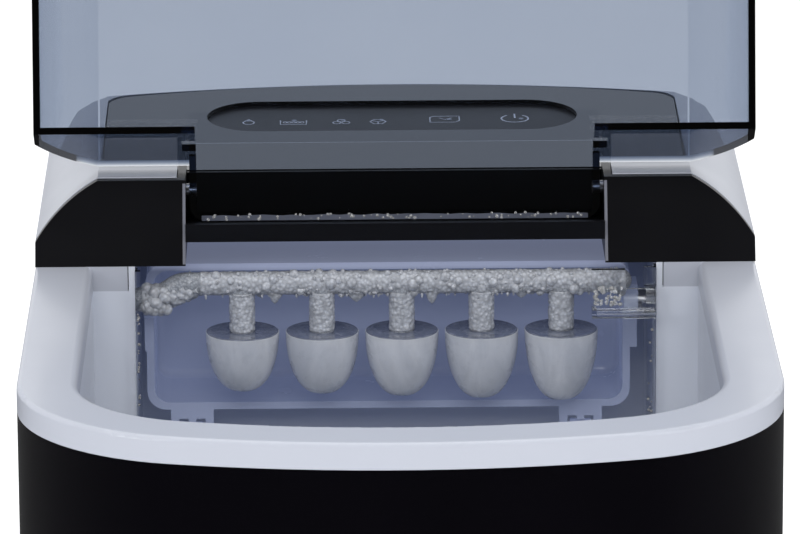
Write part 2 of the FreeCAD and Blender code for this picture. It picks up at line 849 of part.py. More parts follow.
def make_evaporator_tube():
    left = -62.0
    right = 71.0
    wall_x = -chamber_half_width - liner_wall - 10
    main = rod(V(left, evaporator_y, evaporator_z), X_AXIS, tube_radius, right - left)
    cap = Part.makeSphere(tube_radius, V(right, evaporator_y, evaporator_z))
    route = [
        V(left + 0.5, evaporator_y, evaporator_z),
        V(left - 6, evaporator_y, evaporator_z),
        V(left - 13, feed_y, feed_z),
        V(wall_x, feed_y, feed_z),
    ]
    feed = pipe(route, tube_radius, 7.0)
    shape = fuse_all([main, cap, feed])
    sockets = [rod(V(x, evaporator_y, evaporator_z - tube_radius - 2), Z_AXIS, finger_radius + 0.02, 4)
               for x in finger_xs()]
    return shape.cut(fuse_all(sockets))


def make_evaporator_fingers():
    fingers = []
    top_z = evaporator_z - tube_radius + 1.9
    tip_z = rim_z - finger_tip_down
    for x in finger_xs():
        shank = rod(V(x, evaporator_y, tip_z), Z_AXIS, finger_radius, top_z - tip_z)
        tip = Part.makeSphere(finger_radius, V(x, evaporator_y, tip_z))
        fingers.append(fuse_all([shank, tip]))
    return Part.makeCompound(fingers)


def ice_bullet(x, tip_z):
    """Flat top, nearly straight flank, tapering shoulder and a blunt nose."""
    top_z = rim_z - ice_top_down
    nose_z = tip_z + ice_nose_height
    flank_z = tip_z + ice_flank_height
    nose_ball = (ice_nose_radius ** 2 + ice_nose_height ** 2) / (2 * ice_nose_height)
    upper = cone(ice_flank_radius, ice_radius, V(x, evaporator_y, flank_z), top_z)
    lower = cone(ice_nose_radius, ice_flank_radius, V(x, evaporator_y, nose_z), flank_z)
    ball = Part.makeSphere(nose_ball, V(x, evaporator_y, tip_z + nose_ball))
    nose = ball.common(rod(V(x, evaporator_y, tip_z - 1), Z_AXIS, ice_radius, ice_nose_height + 1))
    return upper.fuse(lower).fuse(nose)


def make_ice_bullets():
    """One bullet frozen round each finger, longer towards the spout."""
    hole = finger_radius + 0.02
    finger_z = rim_z - finger_tip_down
    bullets = []
    for i, x in enumerate(finger_xs()):
        tip_z = rim_z - ice_tip_down - ice_tip_step * (i - (finger_count - 1) / 2)
        core = rod(V(x, evaporator_y, finger_z), Z_AXIS, hole, 40)
        core_tip = Part.makeSphere(hole, V(x, evaporator_y, finger_z))
        bullets.append(ice_bullet(x, tip_z).cut(core).cut(core_tip))
    return Part.makeCompound(bullets)


# ---------------------------------------------------------------- water tray and pusher

def tray_block(inset):
    """The trough's outside, or with the skin as inset its inside, open through the rim."""
    y0 = cap_y + tray_rim_back - (1 if inset else 0)
    y1 = cap_y + tray_rim_back + tray_inner_depth + tray_skin - inset
    z0 = rim_z - tray_bottom_down - tray_skin + inset
    z1 = rim_z - tray_top_down + tray_skin - inset
    body = block(tray_left + inset, tray_right - inset, y0, y1, z0, z1)
    corner_edges = [e for e in body.Edges if e.BoundBox.YLength > 5]
    body = body.makeFillet(6.0 - inset / 2, corner_edges)
    back_edges = [e for e in body.Edges if e.BoundBox.YMin > y1 - 0.01]
    return body.makeFillet(5.0 - inset, back_edges)


def tray_clip(x):
    """Hinge clip on the trough's lower edge: a tab with a window, a tongue and a pin bore."""
    rim_y = cap_y + tray_rim_back
    top = rim_z - tray_bottom_down - tray_skin + 1
    bottom = rim_z - tray_bottom_down - tray_skin - clip_drop
    half = clip_width / 2
    clip = block(x - half, x + half, rim_y, rim_y + clip_thick, bottom, top)
    window = block(x - 4.2, x + 4.2, rim_y - 1, rim_y + clip_thick + 1, bottom - 1, bottom + 6.4)
    tongue = block(x - 1.2, x + 1.2, rim_y, rim_y + clip_thick, bottom + 5.0, top)
    bore_radius = pusher_pin_radius + running_fit
    bore = rod(V(x - half - 1, clip_pin_y, clip_pin_z), X_AXIS, bore_radius, clip_width + 2)
    return fuse_all([clip.cut(window), tongue]).cut(bore)


def tray_lug(x0, x1):
    """Thick cheek at the trough's end that carries the pivot."""
    rim_y = cap_y + tray_rim_back
    cheek_block = block(x0, x1, rim_y, rim_y + 8.5, pivot_z - 16.5, pivot_z + 4.5)
    boss = rod(V(x0, pivot_y, pivot_z), X_AXIS, 4.8, x1 - x0)
    return fuse_all([cheek_block, boss])


def make_water_tray():
    trough = tray_block(0).cut(tray_block(tray_skin))
    lugs = [
        tray_lug(tray_left - 0.6, tray_left + tray_skin),
        tray_lug(tray_right - tray_skin, tray_right + 2.2),
    ]
    tray = fuse_all([trough] + lugs + [tray_clip(x) for x in clip_centres])
    return tray.cut(fuse_all([make_tray_pivot_pin(), make_drive_shaft()]))


def trunnion(x0, x1):
    return rod(V(x0, pivot_y, pivot_z), X_AXIS, shaft_radius, x1 - x0)


def make_tray_pivot_pin():
    return trunnion(-chamber_half_width - liner_wall - 3, tray_left + 1.2)


def make_drive_shaft():
    return trunnion(tray_right - 1.2, chamber_half_width + liner_wall + 3.0)


def make_ice_pusher():
    """Plate hung from the two clips, on eyes that turn on pins of their own."""
    middle = sum(clip_centres) / 2
    plate_top = clip_pin_z - 4.6
    y0 = clip_pin_y - pusher_skin / 2
    y1 = clip_pin_y + pusher_skin / 2
    half_eye = pusher_eye_width / 2
    pieces = [block(middle - pusher_half_width, middle + pusher_half_width, y0, y1,
                    plate_top - pusher_height, plate_top)]
    for x in clip_centres:
        pieces.append(rod(V(x - half_eye, clip_pin_y, clip_pin_z), X_AXIS, pusher_eye, pusher_eye_width))
        pieces.append(block(x - half_eye, x + half_eye, y0, y1, plate_top - 2, clip_pin_z))
        pin_start = V(x - clip_width / 2, clip_pin_y, clip_pin_z)
        pieces.append(rod(pin_start, X_AXIS, pusher_pin_radius, clip_width))
    return fuse_all(pieces)


# ---------------------------------------------------------------- water circuit

def make_water_spout():
    """Clear J-shaped channel beside the fingers, hung from the right splash guard."""
    skin = spout_wall
    r = spout_radius
    left = spout_left
    right = chamber_half_width - 0.5
    back = cap_y - 3.0
    front = back - 2 * r
    lip_z = rim_z - spout_lip_down
    middle = V(left, (front + back) / 2, lip_z)
    lower_half = block(left, right, front, back, lip_z - 10, lip_z)
    plate = block(left, spout_plate_right, back - skin, back, lip_z, rim_z - 1.2)
    hook = block(spout_plate_right - 1, right, back - skin, back, lip_z, rim_z - 7.5)
    half_pipe = tube(middle, X_AXIS, r, r - skin, right - left).common(lower_half)
    stop = rod(middle, X_AXIS, r, skin).common(lower_half)
    chute = block(right - 3.7, right, back - skin, cap_y + 9, lip_z - r - 0.6, lip_z - r + skin)
    return fuse_all([plate, hook, half_pipe, stop, chute])


def make_water_pump():
    """Motor and head on a bridge over the base pan, right under the sump outlet."""
    y = cap_y - outlet_front
    centre = V(outlet_x, y, pump_z0)
    motor_height = 24.0
    head_height = 10.0
    motor = rod(centre, Z_AXIS, 17.0, motor_height)
    head = rod(centre + V(0, 0, motor_height), Z_AXIS, 13.0, head_height)
    inlet = rod(centre + V(0, 0, motor_height + head_height), Z_AXIS, 3.8, 12)
    outlet = rod(centre + V(10, 0, motor_height + head_height / 2), X_AXIS, 3.6, 10)
    x0 = outlet_x - 24
    x1 = outlet_x + 24
    foot_z = foot_height + pan_thick
    bridge_z = pump_z0 - pump_bracket
    bridge = block(x0, x1, y - 14, y + 14, bridge_z, pump_z0)
    legs = [block(x, x + pump_bracket, y - 14, y + 14, foot_z, bridge_z) for x in (x0, x1 - pump_bracket)]
    return fuse_all([motor, head, inlet, outlet, bridge] + legs)


def make_supply_hose():
    x = half_width - wall - 8
    port_z = pump_z0 + 29
    pump_y = cap_y - outlet_front
    route = [
        V(outlet_x + 20.2, pump_y, port_z),
        V(x, pump_y, port_z),
        V(x, cap_y - 12, 120),
        V(x, nozzle_y, 150),
        V(x, nozzle_y, nozzle_z),
        V(chamber_half_width - 3, nozzle_y, nozzle_z),
    ]
    return pipe(route, hose_radius, 6.0)


def make_drain_hose():
    low_z = 26
    end_y = rear_y - drain_cup_depth - drain_cup_skin - 14.2
    route = [
        V(waste_x, cap_y - waste_front, well_floor_z - liner_wall - outlet_drop - 0.2),
        V(waste_x, cap_y - waste_front, low_z + 4),
        V(drain_x, cap_y + 20, low_z),
        V(drain_x, cap_y + 80, low_z),
        V(drain_x, end_y - 16, drain_z),
        V(drain_x, end_y, drain_z),
    ]
    return pipe(route, hose_radius, 8.0)


# ---------------------------------------------------------------- drives and machine room

def make_gear_motor():
    x0 = chamber_half_width + liner_wall + 4
    x1 = half_width - wall - 4
    body = rod(V(x0, pivot_y + 6, pivot_z - 8.5), X_AXIS, 15.5, x1 - x0 - 8)
    can = rod(V(x1 - 8, pivot_y + 10, pivot_z - 10), X_AXIS, 12.0, 8)
    socket = rod(V(x0 - 1, pivot_y, pivot_z), X_AXIS, shaft_radius + 0.5, 9)
    ears = block(x0, x0 + 2, pivot_y - 13, pivot_y + 26, pivot_z - 12, pivot_z - 4)
    return fuse_all([body, can, ears]).cut(socket)


def compressor_ports():
    y = cap_y + compressor_back
    return [(compressor_x - 30, y + 20), (compressor_x + 28, y + 10)]


def make_compressor():
    """Welded can with a seam, a terminal box at the front and a foot plate."""
    y = cap_y + compressor_back
    centre = V(compressor_x, y, compressor_base_z)
    dome = 16.0
    shell_height = compressor_top_z - compressor_base_z - dome
    shell = rod(centre, Z_AXIS, compressor_radius, shell_height)
    shell_top = centre + V(0, 0, shell_height)
    crown = cone(compressor_radius, compressor_radius * 0.55, shell_top, compressor_top_z)
    seam = rod(centre + V(0, 0, shell_height * 0.62), Z_AXIS, compressor_radius + 1.6, 3)
    plate = block(compressor_x - 46, compressor_x + 46, y - 36, y + 36, compressor_plate_z, compressor_base_z)
    terminal = block(compressor_x - 12, compressor_x + 12, y - compressor_radius - 5,
                     y - compressor_radius + 4, 60, 88)
    sockets = [rod(V(px, py, pipe_foot_z), Z_AXIS, pipe_radius + 0.02, 30) for px, py in compressor_ports()]
    return fuse_all([shell, crown, seam, plate, terminal]).cut(fuse_all(sockets))


def make_compressor_mounts():
    floor_z = foot_height + pan_thick
    mounts = []
    for dx in (-38, 38):
        for dy in (-28, 28):
            at = V(compressor_x + dx, cap_y + compressor_back + dy, floor_z)
            mounts.append(tube(at, Z_AXIS, 6.5, 2.5, compressor_plate_z - floor_z))
    return Part.makeCompound(mounts)


def make_condenser():
    """Fins on a serpentine of five passes, in front of the fan."""
    x0 = fan_x - shroud_half + 3
    x1 = fan_x + shroud_half - 3
    y0 = cap_y + condenser_back
    y1 = y0 + condenser_deep
    middle_y = (y0 + y1) / 2
    z0 = fan_z - shroud_half
    z1 = fan_z + shroud_half
    first_z = z0 + 10
    fins = [block(x0 + i * fin_pitch, x0 + i * fin_pitch + 0.8, y0, y1, z0, z1) for i in range(fin_count)]
    passes = [rod(V(x0 - 2, middle_y, first_z + row * coil_pitch), X_AXIS, coil_radius, x1 - x0 + 4)
              for row in range(coil_rows)]
    header = rod(V(x0 - 2, middle_y, first_z), Z_AXIS, coil_radius, coil_pitch * (coil_rows - 1))
    return fuse_all(passes + [header] + fins)


def shroud_spoke(angle, y0):
    spoke = block(15.5, fan_radius + 3, y0, y0 + 3, -2, 2)
    spoke.rotate(V(0, 0, 0), Y_AXIS, angle)
    spoke.translate(V(fan_x, 0, fan_z))
    return spoke


def make_fan_shroud():
    """Square box with a round throat, and a hub on three spokes for the motor."""
    y0 = cap_y + shroud_back
    y1 = y0 + 30
    s = shroud_half
    throat_radius = fan_radius + 2.5
    frame = block(fan_x - s, fan_x + s, y0, y1, fan_z - s, fan_z + s)
    room = block(fan_x - s + 2, fan_x + s - 2, y0 + 2, y1 + 1, fan_z - s + 2, fan_z + s - 2)
    throat = rod(V(fan_x, y0 - 1, fan_z), Y_AXIS, throat_radius, y1 - y0 + 2)
    ring = tube(V(fan_x, y0, fan_z), Y_AXIS, throat_radius + 2, throat_radius, y1 - y0)
    hub = tube(V(fan_x, y0, fan_z), Y_AXIS, 17.0, 14.3, 10)
    spokes = [shroud_spoke(angle, y0) for angle in (90, 210, 330)]
    return fuse_all([frame.cut(room).cut(throat), ring, hub] + spokes)


def make_fan_motor():
    y0 = cap_y + shroud_back
    can = rod(V(fan_x, y0 + 0.5, fan_z), Y_AXIS, 14.2, 12)
    shaft = rod(V(fan_x, y0 + 12.5, fan_z), Y_AXIS, 1.5, 12)
    return can.fuse(shaft).removeSplitter()


def make_fan():
    y0 = cap_y + shroud_back + 15
    blade_count = 7
    hub = tube(V(fan_x, y0, fan_z), Y_AXIS, 12.0, 1.5 + running_fit, 11)
    blades = []
    for i in range(blade_count):
        blade = block(10, fan_radius, -0.8, 0.8, -8, 8)
        blade.rotate(V(0, 0, 0), X_AXIS, 62)
        blade = blade.common(tube(V(0, -10, 0), Y_AXIS, fan_radius, 10.0, 20))
        blade.rotate(V(0, 0, 0), Y_AXIS, 360 / blade_count * i)
        blade.translate(V(fan_x, y0 + 5.5, fan_z))
        blades.append(blade)
    return fuse_all([hub] + blades)


def make_refrigerant_pipes():
    (out_x, out_y), (in_x, in_y) = compressor_ports()
    turn_z = 160
    run_y = cap_y + 86
    side_x = -97
    rise_z = 236
    bend = 8.0
    discharge = [
        V(out_x, out_y, pipe_foot_z),
        V(out_x, out_y, turn_z),
        V(-4, cap_y + 72, turn_z),
        V(-4, cap_y + 72, 126),
    ]
    suction = [
        V(in_x, in_y, pipe_foot_z),
        V(in_x, in_y, turn_z),
        V(in_x - 30, run_y, turn_z + 30),
        V(side_x, run_y, turn_z + 30),
        V(side_x, cap_y + 40, rise_z),
        V(side_x, feed_y, rise_z),
        V(side_x, feed_y, feed_z),
    ]
    return Part.makeCompound([pipe(route, pipe_radius, bend) for route in (discharge, suction)])


def make_drier():
    length = 50.0
    neck = 8.0
    at = V(-40, cap_y + 100, 170)
    body = rod(at, Z_AXIS, 7.0, length)
    top = cone(7.0, 2.0, at + V(0, 0, length), at.z + length + neck)
    bottom = cone(2.0, 7.0, at - V(0, 0, neck), at.z)
    return fuse_all([body, top, bottom])


def make_hot_gas_valve():
    at = V(0, cap_y + 104, 206)
    coil = block(at.x - 13, at.x + 13, at.y - 13, at.y + 13, at.z, at.z + 24)
    stem = rod(at - V(0, 0, 12), Z_AXIS, 6.0, 48)
    port = rod(at + V(-16, 0, -6), X_AXIS, 3.0, 32)
    return fuse_all([coil, stem, port])


def make_power_board():
    y0 = cap_y + 92
    board = block(28, 92, y0, y0 + 1.6, 205, 268)
    relay = block(36, 54, y0 + 1.6, y0 + 17, 212, 226)
    capacitor = rod(V(72, y0 + 1.6, 240), Y_AXIS, 9.0, 20)
    transformer = block(34, 60, y0 + 1.6, y0 + 22, 236, 262)
    return fuse_all([board, relay, capacitor, transformer])


def make_control_board():
    """Board hung by four posts from the underside of the housing."""
    low = 10.0
    high = 11.6
    board = block(-66, 66, cap_y + 62, cap_y + 112, rim_z + low, rim_z + high)
    posts = [rod(V(x, y, rim_z + high), Z_AXIS, 2.5, housing_floor - high)
             for x in (-60, 60) for y in (cap_y + 67, cap_y + 107)]
    chip = block(-12, 12, cap_y + 78, cap_y + 96, rim_z + 7.5, rim_z + low)
    return fuse_all([board, chip] + posts)


# ---------------------------------------------------------------- basket and screws

def basket_room(inset):
    """The basket's outside, or with its skin as inset the room inside, open upwards."""
    z0 = well_floor_z + 0.4 + inset
    top = basket_top_z + (1 if inset else 0)
    half = basket_half - inset
    body = block(-half, half, basket_front + inset, basket_back - inset, z0, top)
    upright = [e for e in body.Edges if e.BoundBox.ZLength > 5]
    return body.makeFillet(basket_corner - inset, upright)


def basket_slots():
    r = basket_slot / 2
    z0 = well_floor_z
    low = z0 + basket_corner
    high = basket_top_z - basket_corner
    slots = []
    for i in range(9):
        x = -56 + i * 14
        slots.append(block(x - r, x + r, basket_front - 1, basket_back + 1, low, high))
        slots.append(block(x - r, x + r, basket_front + 18, basket_back - 18, z0 - 1, z0 + basket_skin + 2))
    for i in range(6):
        y = basket_front + 24 + i * 15
        slots.append(block(-basket_half - 1, basket_half + 1, y - r, y + r, low, high))
    return fuse_all(slots)


def make_ice_basket():
    """Slotted basket with a grip on its front rim."""
    basket = basket_room(0).cut(basket_room(basket_skin)).cut(basket_slots())
    grip = block(-24, 24, basket_front - 8, basket_front + basket_skin, basket_top_z - 3, basket_top_z)
    return fuse_all([basket, grip])


def panel_screw(x, z):
    """Cross-head screw through the rear panel into the casing's ledge."""
    half_cross = 1.6
    half_slit = 0.3
    thread = rod(V(x, rear_y - screw_length, z), Y_AXIS, screw_thread, screw_length - 0.2)
    head = rod(V(x, rear_y - screw_head_thick, z), Y_AXIS, screw_head, screw_head_thick - 0.2)
    level = block(x - half_cross, x + half_cross, rear_y - 0.8, rear_y, z - half_slit, z + half_slit)
    upright = block(x - half_slit, x + half_slit, rear_y - 0.8, rear_y, z - half_cross, z + half_cross)
    return fuse_all([thread, head]).cut(level).cut(upright)


def make_screws():
    screws = [panel_screw(x, z) for x, z in panel_screw_places()]
    head_drop = 1.5
    for x in (-70, 70):
        for y in (front_y + 66, rear_y - 50):
            screws.append(rod(V(x, y, foot_height - head_drop), Z_AXIS, screw_head, head_drop))
    return Part.makeCompound(screws)


# ---------------------------------------------------------------- write the sub-parts

def main():
    nodes = {
        "feet": make_feet(),
        "base_pan": make_base_pan(),
        "outer_casing": make_outer_casing(),
        "rear_panel": make_rear_panel(),
        "cord_gland": make_cord_gland(),
        "drain_spigot": make_drain_spigot(),
        "drain_cap": make_drain_cap(),
        "drain_seal": make_drain_seal(),
        "top_bezel": make_top_bezel(),
        "rear_housing": make_rear_housing(),
        "end_cap_left": make_end_cap(-1),
        "end_cap_right": make_end_cap(1),
        "hinge_trough": make_hinge_trough(),
        "control_fascia": make_control_fascia(),
        "display_panel": make_display_panel(),
        "indicator_lenses": make_indicator_lenses(),
        "lid": make_lid(),
        "hinge_pins": make_hinge_pins(),
        "well_liner": make_well_liner(),
        "ice_full_sensors": make_ice_full_sensors(),
        "splash_guard_left": make_splash_guard(-1),
        "splash_guard_right": make_splash_guard(1),
        "foam_insulation": make_foam_insulation(),
        "evaporator_tube": make_evaporator_tube(),
        "evaporator_fingers": make_evaporator_fingers(),
        "ice_bullets": make_ice_bullets(),
        "water_tray": make_water_tray(),
        "tray_pivot_pin": make_tray_pivot_pin(),
        "drive_shaft": make_drive_shaft(),
        "ice_pusher": make_ice_pusher(),
        "water_spout": make_water_spout(),
        "water_pump": make_water_pump(),
        "supply_hose": make_supply_hose(),
        "drain_hose": make_drain_hose(),
        "gear_motor": make_gear_motor(),
        "compressor": make_compressor(),
        "compressor_mounts": make_compressor_mounts(),
        "condenser": make_condenser(),
        "fan_shroud": make_fan_shroud(),
        "fan_motor": make_fan_motor(),
        "fan": make_fan(),
        "refrigerant_pipes": make_refrigerant_pipes(),
        "drier": make_drier(),
        "hot_gas_valve": make_hot_gas_valve(),
        "power_board": make_power_board(),
        "control_board": make_control_board(),
        "ice_basket": make_ice_basket(),
        "screws": make_screws(),
    }
    os.makedirs("parts", exist_ok=True)
    for name, shape in nodes.items():
        solids = len(shape.Solids)
        print(f"{name:20s} solids {solids}  valid {shape.isValid()}  volume {shape.Volume / 1000:.1f} cm3")
        shape.exportStep(f"parts/{name}.step")


main()
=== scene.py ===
import math
import random

import bpy
from mathutils import Matrix, Vector, noise


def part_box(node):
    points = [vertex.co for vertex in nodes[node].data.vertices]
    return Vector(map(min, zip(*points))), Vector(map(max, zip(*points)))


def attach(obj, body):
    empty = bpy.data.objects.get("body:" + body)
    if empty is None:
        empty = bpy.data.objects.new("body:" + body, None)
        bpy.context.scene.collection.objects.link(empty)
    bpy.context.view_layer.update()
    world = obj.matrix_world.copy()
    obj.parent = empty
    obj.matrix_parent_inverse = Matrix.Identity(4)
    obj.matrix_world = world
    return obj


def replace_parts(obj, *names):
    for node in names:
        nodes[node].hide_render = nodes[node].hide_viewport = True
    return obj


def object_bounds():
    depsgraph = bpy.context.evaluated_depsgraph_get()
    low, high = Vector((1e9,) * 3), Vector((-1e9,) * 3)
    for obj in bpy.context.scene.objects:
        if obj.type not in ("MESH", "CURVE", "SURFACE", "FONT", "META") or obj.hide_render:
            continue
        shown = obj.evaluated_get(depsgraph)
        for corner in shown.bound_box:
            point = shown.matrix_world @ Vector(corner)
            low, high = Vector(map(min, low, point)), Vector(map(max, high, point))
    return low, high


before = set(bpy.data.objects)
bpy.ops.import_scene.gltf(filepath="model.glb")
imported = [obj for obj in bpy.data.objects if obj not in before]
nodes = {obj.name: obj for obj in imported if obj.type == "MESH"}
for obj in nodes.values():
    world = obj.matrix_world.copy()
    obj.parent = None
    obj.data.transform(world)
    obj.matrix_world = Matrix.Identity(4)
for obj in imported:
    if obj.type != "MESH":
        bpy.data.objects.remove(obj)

cad_low, cad_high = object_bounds()
MM = 0.001


# ------------------------------------------------------------------ colour

def linear(value):
    share = value / 255
    return share / 12.92 if share <= 0.04045 else ((share + 0.055) / 1.055) ** 2.4


def colour(red, green, blue, gain=1.0):
    return (linear(red) * gain, linear(green) * gain, linear(blue) * gain, 1.0)


def scaled(rgba, gain):
    return (rgba[0] * gain, rgba[1] * gain, rgba[2] * gain, 1.0)


# ------------------------------------------------------------------ shader building

class Shader:
    """One node material: a principled surface with noise in its colour, roughness and relief."""

    def __init__(self, name):
        self.material = bpy.data.materials.new(name)
        self.material.use_nodes = True
        self.tree = self.material.node_tree
        self.tree.nodes.clear()
        self.output = self.add("ShaderNodeOutputMaterial")
        self.surface = self.add("ShaderNodeBsdfPrincipled")
        self.join(self.surface.outputs["BSDF"], self.output.inputs["Surface"])
        self.place = self.add("ShaderNodeTexCoord").outputs["Object"]

    def add(self, kind, **settings):
        node = self.tree.nodes.new(kind)
        for key, value in settings.items():
            setattr(node, key, value)
        return node

    def join(self, out, into):
        self.tree.links.new(out, into)

    def put(self, **sockets):
        for key, value in sockets.items():
            self.surface.inputs[key.replace("_", " ")].default_value = value
        return self

    def stretched(self, scale):
        mapping = self.add("ShaderNodeMapping")
        mapping.inputs["Scale"].default_value = scale
        self.join(self.place, mapping.inputs["Vector"])
        return mapping.outputs["Vector"]

    def noise(self, scale, detail=4.0, rough=0.55, stretch=None, distortion=0.0):
        texture = self.add("ShaderNodeTexNoise")
        texture.inputs["Scale"].default_value = scale
        texture.inputs["Detail"].default_value = detail
        texture.inputs["Roughness"].default_value = rough
        texture.inputs["Distortion"].default_value = distortion
        self.join(self.stretched(stretch) if stretch else self.place, texture.inputs["Vector"])
        return texture.outputs["Fac"]

    def cells(self, scale, feature="F1"):
        texture = self.add("ShaderNodeTexVoronoi", feature=feature)
        texture.inputs["Scale"].default_value = scale
        self.join(self.place, texture.inputs["Vector"])
        return texture.outputs["Distance"]

    def ranged(self, value, low, high, to_low, to_high):
        node = self.add("ShaderNodeMapRange")
        for key, number in (("From Min", low), ("From Max", high), ("To Min", to_low), ("To Max", to_high)):
            node.inputs[key].default_value = number
        self.join(value, node.inputs["Value"])
        return node.outputs["Result"]

    def mixed(self, factor, first, second):
        node = self.add("ShaderNodeMix", data_type="RGBA")
        self.join(factor, node.inputs["Factor"])
        for key, source in (("A", first), ("B", second)):
            socket = next(s for s in node.inputs if s.name == key and s.type == "RGBA")
            if isinstance(source, tuple):
                socket.default_value = source
            else:
                self.join(source, socket)
        return next(s for s in node.outputs if s.type == "RGBA")

    def axis(self, letter):
        node = self.add("ShaderNodeSeparateXYZ")
        self.join(self.place, node.inputs["Vector"])
        return node.outputs[letter]

    def paint(self, source):
        self.join(source, self.surface.inputs["Base Color"])
        return self

    def roughness(self, source):
        self.join(source, self.surface.inputs["Roughness"])
        return self

    def relief(self, *layers):
        """Each layer is (height, strength, distance in metres)."""
        previous = None
        for height, strength, distance in layers:
            bump = self.add("ShaderNodeBump")
            bump.inputs["Strength"].default_value = strength
            bump.inputs["Distance"].default_value = distance
            self.join(height, bump.inputs["Height"])
            if previous is not None:
                self.join(previous, bump.inputs["Normal"])
            previous = bump.outputs["Normal"]
        self.join(previous, self.surface.inputs["Normal"])
        return self

    def absorb(self, rgba, density):
        volume = self.add("ShaderNodeVolumeAbsorption")
        volume.inputs["Color"].default_value = rgba
        volume.inputs["Density"].default_value = density
        self.join(volume.outputs["Volume"], self.output.inputs["Volume"])
        return self


def moulded(name, rgba, rough, mottle=0.06, orange_peel=0.15, texture=0.0, wear=0.0, **sockets):
    """Injection-moulded plastic: faint flow mottling, orange peel or an eroded texture, rubbed edges."""
    s = Shader(name).put(**sockets)
    cloud = s.noise(38, detail=5)
    base = s.mixed(s.ranged(cloud, 0.3, 0.7, 0, 1), scaled(rgba, 1 - mottle), scaled(rgba, 1 + mottle))
    if wear:
        rub = s.ranged(s.noise(900, detail=3, stretch=(1, 0.08, 0.3)), 0.66, 0.78, 0, wear)
        base = s.mixed(rub, base, scaled(rgba, 1.6))
    s.paint(base)
    s.roughness(s.ranged(s.noise(55, detail=2), 0.3, 0.7, rough * 0.92, rough * 1.08))
    layers = [(s.noise(420, detail=2), orange_peel, 0.00004)]
    if texture:
        layers.append((s.noise(5200, detail=2), texture, 0.00003))
    return s.relief(*layers).material


def rubbery(name, rgba, rough=0.75):
    s = Shader(name).put(Specular_IOR_Level=0.35)
    s.paint(s.mixed(s.ranged(s.noise(120, detail=6), 0.35, 0.7, 0, 1), rgba, scaled(rgba, 1.9)))
    s.roughness(s.ranged(s.noise(700), 0.3, 0.7, rough - 0.1, rough + 0.1))
    return s.relief((s.noise(2600, detail=3), 0.35, 0.00005)).material


def metal(name, rgba, rough, grain=(1, 1, 30), **sockets):
    s = Shader(name).put(Metallic=1.0, **sockets)
    lines = s.noise(500, detail=5, rough=0.7, stretch=grain)
    s.paint(s.mixed(s.ranged(lines, 0.3, 0.7, 0, 1), scaled(rgba, 0.86), scaled(rgba, 1.08)))
    s.roughness(s.ranged(s.noise(90, detail=6), 0.3, 0.7, rough * 0.75, rough * 1.35))
    return s.relief((lines, 0.25, 0.00002)).material


def clear(name, absorbed, density, rough=0.02, ior=1.49, smudge=0.05):
    """Transparent moulding: tinted in its depth, with faint smudges and flow waves on its skin."""
    s = Shader(name).put(Transmission_Weight=1.0, IOR=ior)
    s.paint(s.mixed(s.ranged(s.noise(25), 0.3, 0.7, 0, 1), (1, 1, 1, 1), (0.97, 0.975, 0.985, 1)))
    s.roughness(s.ranged(s.noise(45, detail=7, rough=0.7), 0.45, 0.8, rough, rough + smudge))
    s.relief((s.noise(60, detail=2), 0.05, 0.00005))
    return s.absorb(absorbed, density).material


# ------------------------------------------------------------------ finishes

WHITE = colour(183, 187, 198)
casing_black = moulded("casing_black", colour(7, 6, 10), 0.14, mottle=0.1, orange_peel=0.03, wear=0.1,
                       Coat_Weight=0.5, Coat_Roughness=0.05, Specular_IOR_Level=0.5)
base_black = moulded("base_black", colour(20, 20, 24), 0.5, texture=0.4)
white_trim = moulded("white_trim", WHITE, 0.3, mottle=0.006, orange_peel=0.02, Coat_Weight=0.2,
                     Coat_Roughness=0.15)
liner_white = moulded("liner_white", colour(212, 217, 228), 0.36, mottle=0.008, orange_peel=0.03)
cap_black = moulded("cap_black", colour(8, 8, 12), 0.34, mottle=0.08, texture=0.1, wear=0.05,
                    Specular_IOR_Level=0.3)
fascia_black = moulded("fascia_black", colour(12, 12, 17), 0.07, mottle=0.1, orange_peel=0.05, wear=0.08,
                       Coat_Weight=0.6, Coat_Roughness=0.03)
film_grey = moulded("film_grey", colour(84, 88, 101), 0.25, mottle=0.25, orange_peel=0.3)
strip_grey = moulded("strip_grey", colour(112, 114, 124), 0.35, mottle=0.03, orange_peel=0.03)
panel_grey = moulded("panel_grey", colour(33, 31, 34), 0.3, mottle=0.05, texture=0.2)
motor_white = moulded("motor_white", colour(196, 196, 192), 0.4)
pump_black = moulded("pump_black", colour(26, 27, 30), 0.42, texture=0.3)
fan_grey = moulded("fan_grey", colour(52, 54, 58), 0.45, texture=0.3)
rubber_black = rubbery("rubber_black", colour(22, 22, 23))
lid_smoke = clear("lid_smoke", (0.06, 0.17, 0.34, 1), 540, rough=0.0, smudge=0.03)
clear_plastic = clear("clear_plastic", (0.55, 0.62, 0.72, 1), 40, rough=0.03, smudge=0.1)
hose_clear = clear("hose_clear", (0.7, 0.74, 0.78, 1), 60, rough=0.12)
steel = metal("steel", colour(190, 190, 194), 0.28)
aluminium = metal("aluminium", colour(200, 202, 205), 0.35, grain=(1, 1, 12))
copper = metal("copper", colour(196, 122, 84), 0.3, grain=(8, 8, 1))


